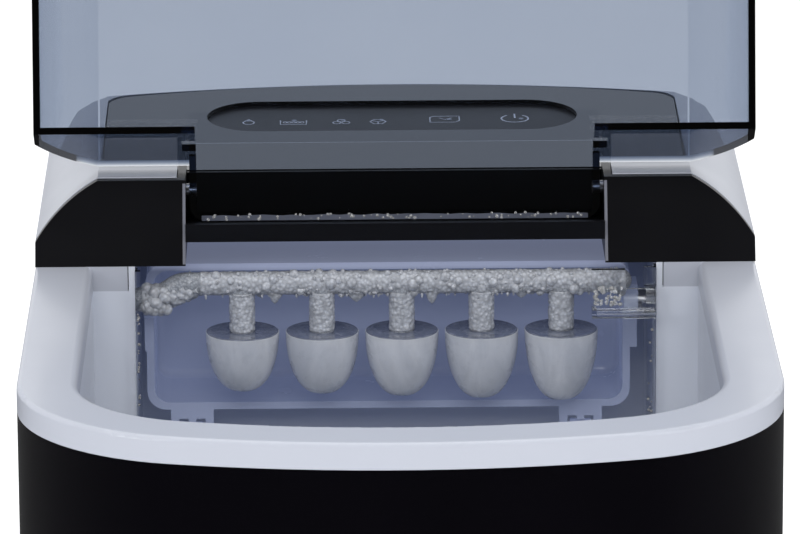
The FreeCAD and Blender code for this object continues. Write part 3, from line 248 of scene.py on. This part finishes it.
def make_tray_plastic():
    """Smoky translucent plastic; paler along its cut edges as a painted highlight, and given a painted glow
    that is brighter near its top.
    """
    s = Shader("tray_translucent").put(Coat_Weight=0.35, Coat_Roughness=0.05, IOR=1.5)
    low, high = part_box("water_tray")
    cloud = s.ranged(s.noise(14, detail=3), 0.3, 0.7, 0, 1)
    body = s.mixed(cloud, colour(146, 154, 178), colour(158, 166, 190))
    # painted highlight: the colour is paler within a millimetre of the front face
    edge = s.ranged(s.axis("Y"), low.y + 0.3 * MM, low.y + 1.0 * MM, 1, 0)
    s.paint(s.mixed(edge, body, colour(190, 197, 212)))
    # painted light: emission over the whole tray, brighter near its top
    painted_top_glow = s.ranged(s.axis("Z"), high.z - 2.4 * MM, high.z - 1.2 * MM, 0, 1)
    painted_glow = s.mixed(painted_top_glow, colour(56, 62, 80), colour(100, 106, 127))
    s.join(painted_glow, s.surface.inputs["Emission Color"])
    s.put(Emission_Strength=1.0)
    s.roughness(s.ranged(s.noise(70, detail=6), 0.35, 0.75, 0.14, 0.3))
    return s.relief((s.noise(150, detail=2), 0.05, 0.0001)).material


def make_frost(name, rgba, scale):
    s = Shader(name).put(Subsurface_Weight=0.25, Subsurface_Radius=(0.9, 1.0, 1.1), Subsurface_Scale=0.002,
                         Coat_Weight=0.5, Coat_Roughness=0.12)
    grains = s.cells(scale)
    s.paint(s.mixed(s.ranged(grains, 0.1, 0.75, 0, 1), scaled(rgba, 1.2), scaled(rgba, 0.72)))
    s.roughness(s.ranged(s.noise(scale * 2), 0.3, 0.7, 0.22, 0.5))
    return s.relief((grains, 0.6, 0.0004), (s.noise(scale * 3, detail=5), 0.5, 0.0002)).material


def make_ice():
    """Milky bullet ice: cloudy core, faint vertical striae, a wet skin."""
    s = Shader("ice").put(Subsurface_Weight=0.35, Subsurface_Radius=(0.9, 1.0, 1.1), Subsurface_Scale=0.005,
                          Coat_Weight=0.7, Coat_Roughness=0.04, IOR=1.31)
    cloud = s.noise(120, detail=6, stretch=(1, 1, 0.35), distortion=0.6)
    base = s.mixed(s.ranged(cloud, 0.35, 0.7, 0, 1), colour(183, 188, 199), colour(205, 209, 218))
    specks = s.ranged(s.cells(900), 0.0, 0.12, 0.35, 0)
    s.paint(s.mixed(specks, base, colour(228, 230, 235)))
    s.roughness(s.ranged(s.noise(260), 0.3, 0.7, 0.2, 0.42))
    return s.relief((s.noise(190, detail=3, stretch=(1, 1, 0.25)), 0.22, 0.0005),
                    (s.noise(900, detail=3), 0.12, 0.0002)).material


def make_foam():
    s = Shader("foam").put(Specular_IOR_Level=0.2)
    s.paint(s.mixed(s.ranged(s.cells(420), 0.0, 0.6, 0, 1), colour(214, 206, 182), colour(176, 165, 136)))
    s.roughness(s.ranged(s.noise(200), 0.3, 0.7, 0.8, 0.98))
    return s.relief((s.cells(420), 0.7, 0.0006)).material


def make_board():
    s = Shader("board_green").put(Coat_Weight=0.4, Coat_Roughness=0.2)
    traces = s.ranged(s.noise(260, detail=1, stretch=(1, 1, 0.12)), 0.56, 0.6, 0, 1)
    s.paint(s.mixed(traces, colour(18, 74, 48), colour(42, 110, 74)))
    s.roughness(s.ranged(s.noise(500), 0.3, 0.7, 0.3, 0.45))
    return s.relief((traces, 0.4, 0.00008)).material


def make_compressor_paint():
    s = Shader("compressor_black").put(Coat_Weight=0.3, Coat_Roughness=0.25)
    scuffs = s.ranged(s.noise(300, detail=6), 0.6, 0.75, 0, 1)
    s.paint(s.mixed(scuffs, colour(20, 20, 22), colour(58, 56, 54)))
    s.roughness(s.ranged(s.noise(140), 0.3, 0.7, 0.35, 0.6))
    return s.relief((s.noise(700, detail=4), 0.4, 0.0001)).material


def make_lens():
    s = Shader("lens_clear").put(Transmission_Weight=0.4, IOR=1.5, Emission_Strength=0.25,
                                 Emission_Color=colour(200, 206, 216))
    s.paint(s.mixed(s.ranged(s.noise(3000), 0.3, 0.7, 0, 1), colour(150, 154, 164), colour(190, 194, 202)))
    s.roughness(s.ranged(s.noise(2000), 0.3, 0.7, 0.1, 0.25))
    return s.relief((s.noise(4000), 0.2, 0.00002)).material


def make_print():
    # The emission makes the printed icons glow: painted light on print, not a lamp.
    s = Shader("print_grey").put(Specular_IOR_Level=0.3, Emission_Strength=0.5,
                                 Emission_Color=colour(214, 216, 224))
    s.paint(s.mixed(s.ranged(s.noise(4000), 0.3, 0.7, 0, 1), colour(196, 197, 205), colour(222, 223, 229)))
    s.roughness(s.ranged(s.noise(2500), 0.3, 0.7, 0.45, 0.6))
    return s.relief((s.noise(6000), 0.2, 0.00001)).material


def make_ice_top():
    """The wet, clear top of a bullet, with painted shade: dark tones in place of the tray seen through it,
    and faintly rippled.
    """
    s = Shader("ice_top").put(Coat_Weight=0.8, Coat_Roughness=0.03, IOR=1.31)
    ripple = s.noise(420, detail=3, distortion=0.8)
    # painted shade: these dark tones stand in for the tray seen through the clear ice
    s.paint(s.mixed(s.ranged(ripple, 0.3, 0.72, 0, 1), colour(82, 88, 106), colour(122, 128, 144)))
    s.roughness(s.ranged(s.noise(300), 0.3, 0.7, 0.08, 0.2))
    return s.relief((ripple, 0.3, 0.0004)).material


def make_water():
    s = Shader("water").put(Transmission_Weight=0.75, IOR=1.333)
    s.paint(s.mixed(s.ranged(s.noise(300), 0.3, 0.7, 0, 1), (1, 1, 1, 1), (0.96, 0.975, 0.99, 1)))
    s.roughness(s.ranged(s.noise(600), 0.3, 0.7, 0.0, 0.03))
    return s.relief((s.noise(500), 0.1, 0.0001)).material


tray_translucent = make_tray_plastic()
frost = make_frost("frost", colour(186, 190, 199), 900)
evaporator_metal = make_frost("evaporator_metal", colour(160, 165, 174), 1500)
ice = make_ice()
ice_top = make_ice_top()
foam = make_foam()
board_green = make_board()
compressor_black = make_compressor_paint()
lens_clear = make_lens()
print_grey = make_print()
water = make_water()

FINISHES = {
    "feet": rubber_black, "base_pan": base_black, "outer_casing": casing_black, "rear_panel": casing_black,
    "cord_gland": rubber_black, "drain_spigot": pump_black, "drain_cap": rubber_black,
    "drain_seal": rubber_black, "top_bezel": white_trim, "rear_housing": white_trim,
    "end_cap_left": cap_black, "end_cap_right": cap_black, "hinge_trough": cap_black,
    "control_fascia": fascia_black, "display_panel": panel_grey, "indicator_lenses": lens_clear,
    "lid": lid_smoke, "hinge_pins": steel, "well_liner": liner_white, "ice_full_sensors": pump_black,
    "splash_guard_left": clear_plastic, "splash_guard_right": clear_plastic, "foam_insulation": foam,
    "evaporator_tube": evaporator_metal, "evaporator_fingers": evaporator_metal, "ice_bullets": ice,
    "water_tray": tray_translucent, "tray_pivot_pin": steel, "drive_shaft": steel,
    "ice_pusher": tray_translucent, "water_spout": clear_plastic, "water_pump": pump_black,
    "supply_hose": hose_clear, "drain_hose": hose_clear, "gear_motor": motor_white,
    "compressor": compressor_black, "compressor_mounts": rubber_black, "condenser": aluminium,
    "fan_shroud": fan_grey, "fan_motor": steel, "fan": fan_grey, "refrigerant_pipes": copper,
    "drier": copper, "hot_gas_valve": steel, "power_board": board_green, "control_board": board_green,
    "ice_basket": clear_plastic, "screws": steel,
}
for node_name, finish in FINISHES.items():
    node_mesh = nodes[node_name].data
    node_mesh.materials.clear()
    node_mesh.materials.append(finish)


# ------------------------------------------------------------------ mesh building

def piece(name, points, faces, material, body="machine", smooth=True):
    mesh = bpy.data.meshes.new(name)
    mesh.from_pydata([tuple(p) for p in points], [], faces)
    mesh.validate()
    if smooth:
        mesh.shade_smooth()
    mesh.materials.append(material)
    made = bpy.data.objects.new(name, mesh)
    bpy.context.scene.collection.objects.link(made)
    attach(made, body)
    return made


def ring_skin(rings):
    """Points and faces of a closed skin through equal rings."""
    count = len(rings[0])
    points = [p for ring in rings for p in ring]
    faces = []
    for i in range(len(rings) - 1):
        for j in range(count):
            k = (j + 1) % count
            faces.append((i * count + j, i * count + k, (i + 1) * count + k, (i + 1) * count + j))
    faces.append(tuple(reversed(range(count))))
    faces.append(tuple(range((len(rings) - 1) * count, len(rings) * count)))
    return points, faces


def pebbles(at, pitch, height):
    """Rounded grains of frost: how far the crust stands out at a point."""
    nearest = noise.voronoi(at / pitch)[0][0]
    return height * math.sqrt(max(0.0, 1 - (nearest / 0.62) ** 2)) if nearest < 0.62 else 0.0


def crust(path, radius, pitch, height, seed, around=40, step=0.45 * MM):
    """A lumpy frost skin round a path of points."""
    shift = Vector((seed * 7.1, seed * 3.3, seed * 5.7))
    rings = []
    for start, end in zip(path, path[1:]):
        length = (end - start).length
        steps = max(1, round(length / step))
        along = (end - start).normalized()
        side = along.orthogonal().normalized()
        other = along.cross(side)
        for i in range(steps + (end is path[-1])):
            centre = start.lerp(end, i / steps)
            ring = []
            for j in range(around):
                turn = 2 * math.pi * j / around
                out = side * math.cos(turn) + other * math.sin(turn)
                at = centre + out * radius
                swell = 0.25 * height * noise.noise(at / (pitch * 3) + shift)
                grain = pebbles(at + shift * pitch, pitch, height)
                fine = 0.12 * height * noise.noise(at / (pitch * 0.3) + shift)
                ring.append(centre + out * (radius + swell + grain + fine))
            rings.append(ring)
    return ring_skin(rings)


def bead(centre, radius, stretch, seed, rings=9, around=14):
    """One drop or frost bead: a slightly uneven ball, longer below than above."""
    skin = []
    for i in range(rings + 1):
        tilt = math.pi * (0.02 + 0.96 * i / rings)
        low = math.cos(tilt)
        ring = []
        for j in range(around):
            turn = 2 * math.pi * j / around
            wobble = 1 + 0.07 * noise.noise(Vector((seed * 3.7 + math.cos(turn), seed + math.sin(turn), low)))
            out = radius * math.sin(tilt) * wobble
            drop = radius * low * (stretch if low < 0 else 1.0)
            ring.append(centre + Vector((out * math.cos(turn), out * math.sin(turn), drop)))
        skin.append(ring)
    return ring_skin(skin)


def gathered(parts):
    """Several (points, faces) as one."""
    points, faces = [], []
    for part_points, part_faces in parts:
        offset = len(points)
        points += part_points
        faces += [tuple(i + offset for i in face) for face in part_faces]
    return points, faces


def flat_bead(centre, normal, radius, height, seed, around=14):
    """A water drop sitting on a surface: a low cap with an uneven outline."""
    side = normal.orthogonal().normalized()
    other = normal.cross(side)
    skin = []
    for i in range(6):
        share = i / 5
        spread = math.cos(share * math.pi / 2)
        ring = []
        for j in range(around):
            turn = 2 * math.pi * j / around
            place = Vector((math.cos(turn) + seed, math.sin(turn) - seed, seed * 0.37))
            wobble = 1 + 0.16 * noise.noise(place)
            out = radius * max(spread, 0.04) * wobble
            ring.append(centre + (side * math.cos(turn) + other * math.sin(turn)) * out
                        + normal * height * math.sin(share * math.pi / 2))
        skin.append(ring)
    return ring_skin(skin)


# ------------------------------------------------------------------ frozen evaporator

tube_low, tube_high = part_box("evaporator_tube")
ice_low, ice_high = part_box("ice_bullets")
FINGER_RADIUS = 3.8 * MM
FINGERS = 5
finger_y = (ice_low.y + ice_high.y) / 2
ICE_RADIUS = (ice_high.y - ice_low.y) / 2
TUBE_RADIUS = 3.6 * MM
TIP_STEP = 0.95 * MM          # each bullet hangs this much lower than the one on its left
FEED_DROP = 4.8 * MM
first_x = ice_low.x + ICE_RADIUS
pitch_x = (ice_high.x - ice_low.x - 2 * ICE_RADIUS) / (FINGERS - 1)
finger_xs = [first_x + pitch_x * i for i in range(FINGERS)]
tube_z = tube_high.z - TUBE_RADIUS
feed_z = tube_z - FEED_DROP


def frost_tube():
    left = finger_xs[0] - 13.0 * MM
    right = tube_high.x - 2.0 * MM
    path = [Vector((left, finger_y, tube_z)), Vector((right, finger_y, tube_z))]
    points, faces = crust(path, TUBE_RADIUS + 0.02 * MM, 1.1 * MM, 0.22 * MM, 3, around=56, step=0.3 * MM)
    return piece("frost_tube", points, faces, frost)


def frost_feed():
    joint = finger_xs[0] - 14.5 * MM
    path = [Vector((tube_low.x + 14 * MM, finger_y + 1.0 * MM, feed_z)),
            Vector((joint - 13.0 * MM, finger_y + 1.0 * MM, feed_z)),
            Vector((joint - 6.5 * MM, finger_y + 0.5 * MM, feed_z + 1.6 * MM)),
            Vector((joint, finger_y, tube_z))]
    points, faces = crust(path, TUBE_RADIUS, 1.6 * MM, 0.9 * MM, 8)
    return piece("frost_feed", points, faces, frost)


def frost_fingers():
    parts = []
    for i, x in enumerate(finger_xs):
        top = Vector((x, finger_y, tube_z - 2.8 * MM))
        bottom = Vector((x, finger_y, ice_high.z + 0.2 * MM))
        parts.append(crust([top, bottom], FINGER_RADIUS + 0.02 * MM, 0.8 * MM, 0.38 * MM, 20 + i, around=44))
    points, faces = gathered(parts)
    return piece("frost_fingers", points, faces, frost)


def icicle(x, width, length, seed):
    """A drooping wedge of frost under the tube between two fingers."""
    rings = []
    for i in range(9):
        share = i / 8
        half_x = width / 2 * (1 - share) ** 0.8 + 0.15 * MM
        half_y = 2.2 * MM * (1 - share) ** 0.7 + 0.15 * MM
        z = tube_z - 2.0 * MM - length * share
        ring = []
        for j in range(18):
            turn = 2 * math.pi * j / 18
            wobble = 1 + 0.2 * noise.noise(Vector((math.cos(turn) + seed, math.sin(turn), share * 3 + seed)))
            ring.append(Vector((x + half_x * math.cos(turn) * wobble, finger_y - 0.6 * MM
                                + half_y * math.sin(turn) * wobble, z)))
        rings.append(ring)
    return ring_skin(rings)


def beads_round(pick, count, span, height, out_by, sizes, seed):
    """Frost beads on the front half of a level tube."""
    parts = []
    for i in range(count):
        turn = pick.uniform(-0.4, 3.3)
        out = Vector((0, -math.sin(turn), -math.cos(turn)))
        at = Vector((pick.uniform(*span), finger_y, height)) + out * out_by
        parts.append(bead(at, pick.uniform(*sizes) * MM, pick.uniform(1.0, 1.25), seed + i))
    return parts


def frost_beads():
    pick = random.Random(41)
    left, right = finger_xs[0] - 12 * MM, tube_high.x - 3 * MM
    feed_span = (tube_low.x + 14 * MM, left - 11 * MM)
    parts = beads_round(pick, 44, (left, right), tube_z, TUBE_RADIUS - 0.4 * MM, (1.2, 2.0), 0)
    parts += beads_round(pick, 130, (left, right), tube_z, TUBE_RADIUS + 0.1 * MM, (0.4, 0.8), 100)
    parts += beads_round(pick, 34, feed_span, feed_z, TUBE_RADIUS, (1.0, 2.0), 300)
    for i in range(90):
        at = Vector((pick.uniform(left, right), finger_y + pick.uniform(-2.6, 0.2) * MM, tube_z - 3.4 * MM))
        parts.append(bead(at, pick.uniform(0.22, 0.45) * MM, pick.uniform(1.6, 3.4), 400 + i))
    for i, (before, after) in enumerate(zip(finger_xs, finger_xs[1:])):
        middle = (before + after) / 2 + pick.uniform(-4, 4) * MM
        parts.append(icicle(middle, pick.uniform(5, 9) * MM, pick.uniform(3.2, 5.0) * MM, i))
    points, faces = gathered(parts)
    return piece("frost_beads", points, faces, frost)


def lumpy_rings(x, seed, profile, around=72):
    """Rings of (radius, z) round a finger, with a slight melt unevenness."""
    rings = []
    for radius, z in profile:
        ring = []
        for j in range(around):
            turn = 2 * math.pi * j / around
            place = Vector((math.cos(turn) * 1.6 + seed * 5, math.sin(turn) * 1.6, z / (9 * MM)))
            lump = 0.14 * MM * noise.noise(place) + 0.04 * MM * noise.noise(place * 4)
            reach = min(radius * (1 + lump / ICE_RADIUS), ICE_RADIUS - 0.02 * MM)
            ring.append(Vector((x + reach * math.cos(turn), finger_y + reach * math.sin(turn), z)))
        rings.append(ring)
    return rings


def bullet(x, seed, tip):
    """A lumpy ice bullet: raised lip round a wet top, flank and blunt nose in one smooth sweep."""
    top = ice_high.z
    lip = top - 0.3 * MM
    profile = [(ICE_RADIUS - 1.0 * MM, top - 0.6 * MM), (ICE_RADIUS - 0.5 * MM, top - 0.32 * MM),
               (ICE_RADIUS - 0.16 * MM, lip)]
    for i in range(1, 40):
        share = math.cos(math.pi / 2 * i / 40)
        rise = (1 - (1 - share) ** 2) ** (1 / 2.6)
        profile.append(((ICE_RADIUS - 0.16 * MM) * rise, tip + (lip - tip) * share))
    rings = lumpy_rings(x, seed, profile)
    nose = Vector((x, finger_y, tip + 0.02 * MM))
    rings.append([nose + (p - Vector((x, finger_y, p.z))) * 0.3 for p in rings[-1]])
    return ring_skin(rings)


def bullet_top(x, seed):
    top = ice_high.z
    edge = ICE_RADIUS - 0.42 * MM
    profile = [(edge, top - 0.5 * MM), (edge, top - 0.12 * MM), (edge - 0.3 * MM, top - 0.01 * MM),
               (edge - 1.2 * MM, top - 0.2 * MM), (FINGER_RADIUS + 1.6 * MM, top - 0.3 * MM),
               (FINGER_RADIUS + 0.3 * MM, top - 0.1 * MM)]
    return ring_skin(lumpy_rings(x, seed, profile))


def ice_bullets():
    for i, x in enumerate(finger_xs):
        tip = ice_low.z + TIP_STEP * (FINGERS - 1 - i)
        points, faces = bullet(x, i + 1, tip)
        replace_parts(piece(f"ice_bullet_{i + 1}", points, faces, ice), "ice_bullets")
        points, faces = bullet_top(x, i + 1)
        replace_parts(piece(f"ice_top_{i + 1}", points, faces, ice_top), "ice_bullets")


frost_tube()
frost_feed()
frost_fingers()
frost_beads()
ice_bullets()


# ------------------------------------------------------------------ water drops

def scatter(name, count, seed, place, sizes, body="machine"):
    """Drops on a surface: place(pick) gives a point and the surface's normal."""
    pick = random.Random(seed)
    parts = []
    for i in range(count):
        at, normal = place(pick)
        radius = pick.uniform(*sizes) * MM
        parts.append(flat_bead(at, normal, radius, radius * pick.uniform(0.45, 0.7), seed + i))
    points, faces = gathered(parts)
    return piece(name, points, faces, water, body)


FRONTWARD = Vector((0, -1, 0))
WELL_RUN = 194 * MM           # from the machine's front to the end caps' faces
CAP_Y = cad_low.y + WELL_RUN


def guard_drops(guard):
    low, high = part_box(guard)

    def on_guard(pick):
        x = pick.uniform(low.x + MM, high.x - MM)
        z = pick.uniform(low.z + 4 * MM, high.z - 14 * MM)
        return Vector((x, low.y, z)), FRONTWARD

    scatter(guard.replace("splash_guard", "drops"), 46, 60 + len(guard), on_guard, (0.2, 0.55))


guard_drops("splash_guard_left")
guard_drops("splash_guard_right")

spout_low, spout_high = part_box("water_spout")


def on_spout(pick):
    """The wet patch on the spout's plate, above its lip."""
    x = pick.uniform(spout_low.x + MM, spout_low.x + 10 * MM)
    z = pick.uniform(spout_high.z - 11.5 * MM, spout_high.z - 5.8 * MM)
    return Vector((x, CAP_Y - 4.5 * MM, z)), FRONTWARD


scatter("drops_spout", 60, 9, on_spout, (0.3, 0.75))


# ------------------------------------------------------------------ trim strips on the end caps

def cap_strip(side):
    """Narrow light edging up the inner edge of an end cap's sloping face."""
    cap_low, cap_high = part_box("end_cap_right")
    inner, outer = cap_low.x, cap_low.x + 0.9 * MM
    lean = math.tan(math.radians(25))
    points = []
    for rise in (0.5 * MM, cap_high.z - cap_low.z - 1.0 * MM):
        y = CAP_Y + rise * lean
        for x, out in ((inner, 0.0), (inner, 0.12), (outer, 0.12), (outer, 0.0)):
            points.append(Vector((side * x, y - out * MM, cap_low.z + rise)))
    faces = [(0, 1, 5, 4), (1, 2, 6, 5), (2, 3, 7, 6), (3, 0, 4, 7), (0, 3, 2, 1), (4, 5, 6, 7)]
    if side < 0:
        faces = [tuple(reversed(face)) for face in faces]
    name = "cap_strip_right" if side > 0 else "cap_strip_left"
    return piece(name, points, faces, strip_grey, smooth=False)


cap_strip(-1)
cap_strip(1)

TAB_LEAN = math.tan(math.radians(11))
TAB_FOOT_Y = CAP_Y + 12.4 * MM
TAB_FOOT_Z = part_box("end_cap_right")[0].z + 11.3 * MM


def on_tab(x, rise):
    """A point just ahead of the free edge of the raised lid's tab, rise above its foot."""
    return Vector((x, TAB_FOOT_Y + rise * TAB_LEAN - 0.06 * MM, TAB_FOOT_Z + rise))


def tab_film():
    """Condensation gathered along the lower edge of the lid's tab."""
    columns = 90
    half = 61 * MM
    points = []
    for i in range(columns + 1):
        x = -half + 2 * half * i / columns
        ragged = 0.35 * MM * noise.noise(Vector((x / (4 * MM), 3.1, 0.7)))
        points += [on_tab(x, 0.1 * MM), on_tab(x, 1.7 * MM + ragged)]
    faces = [(2 * i, 2 * i + 2, 2 * i + 3, 2 * i + 1) for i in range(columns)]
    return piece("tab_film", points, faces, film_grey, body="lid")


def on_tab_drop(pick):
    return on_tab(pick.uniform(-60, 60) * MM, pick.uniform(0.3, 1.9) * MM), FRONTWARD


tab_film()
scatter("drops_tab", 70, 77, on_tab_drop, (0.2, 0.6), body="lid")


# ------------------------------------------------------------------ printed display

panel_low, panel_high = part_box("display_panel")
TILT = math.radians(2.6)
PRINT_LIFT = 0.04 * MM
panel_middle_y = (panel_low.y + panel_high.y) / 2
panel_rise = math.tan(TILT)
panel_top_middle = (panel_low.z + panel_high.z) / 2 + 0.35 * MM


def on_panel(x, y):
    """A point on the display panel's face, x to the right and y towards the rear of its centre, in mm."""
    return Vector((x * MM, panel_middle_y + y * MM, panel_top_middle + PRINT_LIFT + y * MM * panel_rise))


def stroke(points, width):
    """A flat printed line through points in panel millimetres."""
    skin_points, faces = [], []
    for i, (x, y) in enumerate(points):
        before = points[max(i - 1, 0)]
        after = points[min(i + 1, len(points) - 1)]
        dx, dy = after[0] - before[0], after[1] - before[1]
        length = math.hypot(dx, dy) or 1.0
        nx, ny = -dy / length * width / 2, dx / length * width / 2
        skin_points += [on_panel(x + nx, y + ny), on_panel(x - nx, y - ny)]
    for i in range(len(points) - 1):
        faces.append((2 * i + 1, 2 * i + 3, 2 * i + 2, 2 * i))
    return skin_points, faces


def arc_points(cx, cy, rx, ry, start, end, count=24):
    return [(cx + rx * math.cos(math.radians(start + (end - start) * i / count)),
             cy + ry * math.sin(math.radians(start + (end - start) * i / count))) for i in range(count + 1)]


def icon_strokes():
    """Drop, basket, fan, ice, touch outline and power, in panel millimetres."""
    line = 0.42
    row = -2.2
    parts = []
    drop_point = [(-46.9, row + 3.6)]
    tub = [(-36.5, row + 2.2), (-36.5, row - 2.4), (-28.0, row - 2.4), (-28.0, row + 2.2)]
    button = [(12.4, 2.2), (12.4, -3.4), (20.6, -3.4), (22.0, -1.8), (22.0, 3.4), (14.0, 3.4), (12.4, 2.2)]
    parts.append(stroke(drop_point + arc_points(-46.9, row, 1.8, 2.0, 40, -220) + drop_point, line))
    parts.append(stroke(tub, line))
    for i in range(5):
        parts.append(stroke(arc_points(-35.0 + i * 1.4, row, 0.55, 0.9, 0, 360, 10), 0.32))
    for turn in (90, 210, 330):
        cx = -16.6 + 1.7 * math.cos(math.radians(turn))
        cy = row + 1.6 * math.sin(math.radians(turn))
        parts.append(stroke(arc_points(cx, cy, 1.25, 1.35, 0, 360, 16), 0.38))
    parts.append(stroke(arc_points(-4.6, row, 2.6, 2.7, 0, 360, 6), line))
    parts.append(stroke([(-4.6, row), (-4.6, row - 2.7)], 0.34))
    parts.append(stroke([(-4.6, row), (-2.4, row + 1.4)], 0.34))
    parts.append(stroke([(-4.6, row), (-6.8, row + 1.4)], 0.34))
    parts.append(stroke(button, line))
    parts.append(stroke([(15.4, 1.6), (17.4, -0.4), (19.4, 1.6)], 0.38))
    parts.append(stroke(arc_points(40.2, 0.2, 4.4, 4.2, 125, 415), 0.55))
    parts.append(stroke([(40.2, 5.6), (40.2, 0.8)], 0.55))
    return parts


icon_points, icon_faces = gathered(icon_strokes())
piece("panel_icons", icon_points, icon_faces, print_grey, smooth=False)


# ------------------------------------------------------------------ camera

FOCAL = 6400.0                # pixels, in a picture IMAGE_WIDTH wide
IMAGE_WIDTH = 800
SENSOR = 36.0
CAMERA_PLACE = Vector((-18.95, -1912.38, 814.24)) * MM
PITCH, YAW, ROLL = math.radians(15.3), math.radians(0.6), math.radians(0.33)


def make_camera():
    data = bpy.data.cameras.new("camera")
    data.sensor_width = SENSOR
    data.lens = FOCAL / IMAGE_WIDTH * SENSOR
    data.clip_start, data.clip_end = 0.05, 60
    camera = bpy.data.objects.new("camera", data)
    bpy.context.scene.collection.objects.link(camera)
    ahead = Vector((0, math.cos(PITCH), -math.sin(PITCH)))
    right = Vector((1, 0, 0))
    turn = Matrix(((math.cos(YAW), math.sin(YAW), 0), (-math.sin(YAW), math.cos(YAW), 0), (0, 0, 1)))
    ahead, right = turn @ ahead, turn @ right
    up = right.cross(ahead)
    rolled_right = right * math.cos(ROLL) - up * math.sin(ROLL)
    rolled_up = right * math.sin(ROLL) + up * math.cos(ROLL)
    camera.matrix_world = Matrix((rolled_right, rolled_up, -ahead)).transposed().to_4x4()
    camera.location = CAMERA_PLACE
    bpy.context.scene.camera = camera


def make_floor():
    size = 30.0
    mesh = bpy.data.meshes.new("floor")
    corners = [(-size, -size, 0), (size, -size, 0), (size, size, 0), (-size, size, 0)]
    mesh.from_pydata(corners, [], [(0, 1, 2, 3)])
    s = Shader("floor_white").put(Specular_IOR_Level=0.1, Emission_Strength=0.42, Emission_Color=(1, 1, 1, 1))
    s.paint(s.mixed(s.ranged(s.noise(6), 0.3, 0.7, 0, 1), (0.88, 0.88, 0.885, 1), (0.9, 0.9, 0.905, 1)))
    s.roughness(s.ranged(s.noise(30), 0.3, 0.7, 0.75, 0.9))
    mesh.materials.append(s.material)
    floor = bpy.data.objects.new("floor", mesh)
    floor.visible_glossy = False
    bpy.context.scene.collection.objects.link(floor)


def make_light(name, place, target, size, power):
    data = bpy.data.lights.new(name, "AREA")
    data.shape = "RECTANGLE"
    data.size, data.size_y = size
    data.energy = power
    light = bpy.data.objects.new(name, data)
    light.location = place
    light.rotation_mode = "QUATERNION"
    light.rotation_quaternion = (Vector(target) - Vector(place)).to_track_quat("-Z", "Y")
    bpy.context.scene.collection.objects.link(light)
    return light


def make_world():
    """A pale studio: bright behind and overhead, darker towards the camera and below."""
    world = bpy.data.worlds.new("studio")
    world.use_nodes = True
    tree = world.node_tree
    tree.nodes.clear()
    out = tree.nodes.new("ShaderNodeOutputWorld")
    glow = tree.nodes.new("ShaderNodeBackground")
    place = tree.nodes.new("ShaderNodeTexCoord")
    parts = tree.nodes.new("ShaderNodeSeparateXYZ")
    tree.links.new(place.outputs["Generated"], parts.inputs["Vector"])
    depth_ramp = tree.nodes.new("ShaderNodeMapRange")
    for key, number in (("From Min", -0.75), ("From Max", 0.45), ("To Min", 0.05), ("To Max", 1.0)):
        depth_ramp.inputs[key].default_value = number
    tree.links.new(parts.outputs["Y"], depth_ramp.inputs["Value"])
    height_ramp = tree.nodes.new("ShaderNodeMapRange")
    for key, number in (("From Min", -0.25), ("From Max", 0.02), ("To Min", 0.06), ("To Max", 1.0)):
        height_ramp.inputs[key].default_value = number
    tree.links.new(parts.outputs["Z"], height_ramp.inputs["Value"])
    product = tree.nodes.new("ShaderNodeMath")
    product.operation = "MULTIPLY"
    tree.links.new(depth_ramp.outputs["Result"], product.inputs[0])
    tree.links.new(height_ramp.outputs["Result"], product.inputs[1])
    tree.links.new(product.outputs["Value"], glow.inputs["Strength"])
    glow.inputs["Color"].default_value = (0.97, 0.98, 1.0, 1)
    tree.links.new(glow.outputs["Background"], out.inputs["Surface"])
    bpy.context.scene.world = world


make_camera()
make_floor()
make_world()
make_light("key_left", (-1.5, -1.4, 1.15), (0, 0, 0.25), (0.9, 0.9), 9)
make_light("key_right", (1.6, -1.1, 1.0), (0, 0, 0.25), (0.9, 0.9), 8)
make_light("top", (0.0, -0.2, 2.2), (0, 0, 0.2), (1.6, 1.6), 14)
fill = make_light("front_fill", (0.0, -2.5, 1.75), (0, 0, 0.25), (1.8, 1.2), 34)
fill.visible_glossy = False

view = bpy.context.scene.view_settings
view.view_transform = "Standard"
view.look = "None"
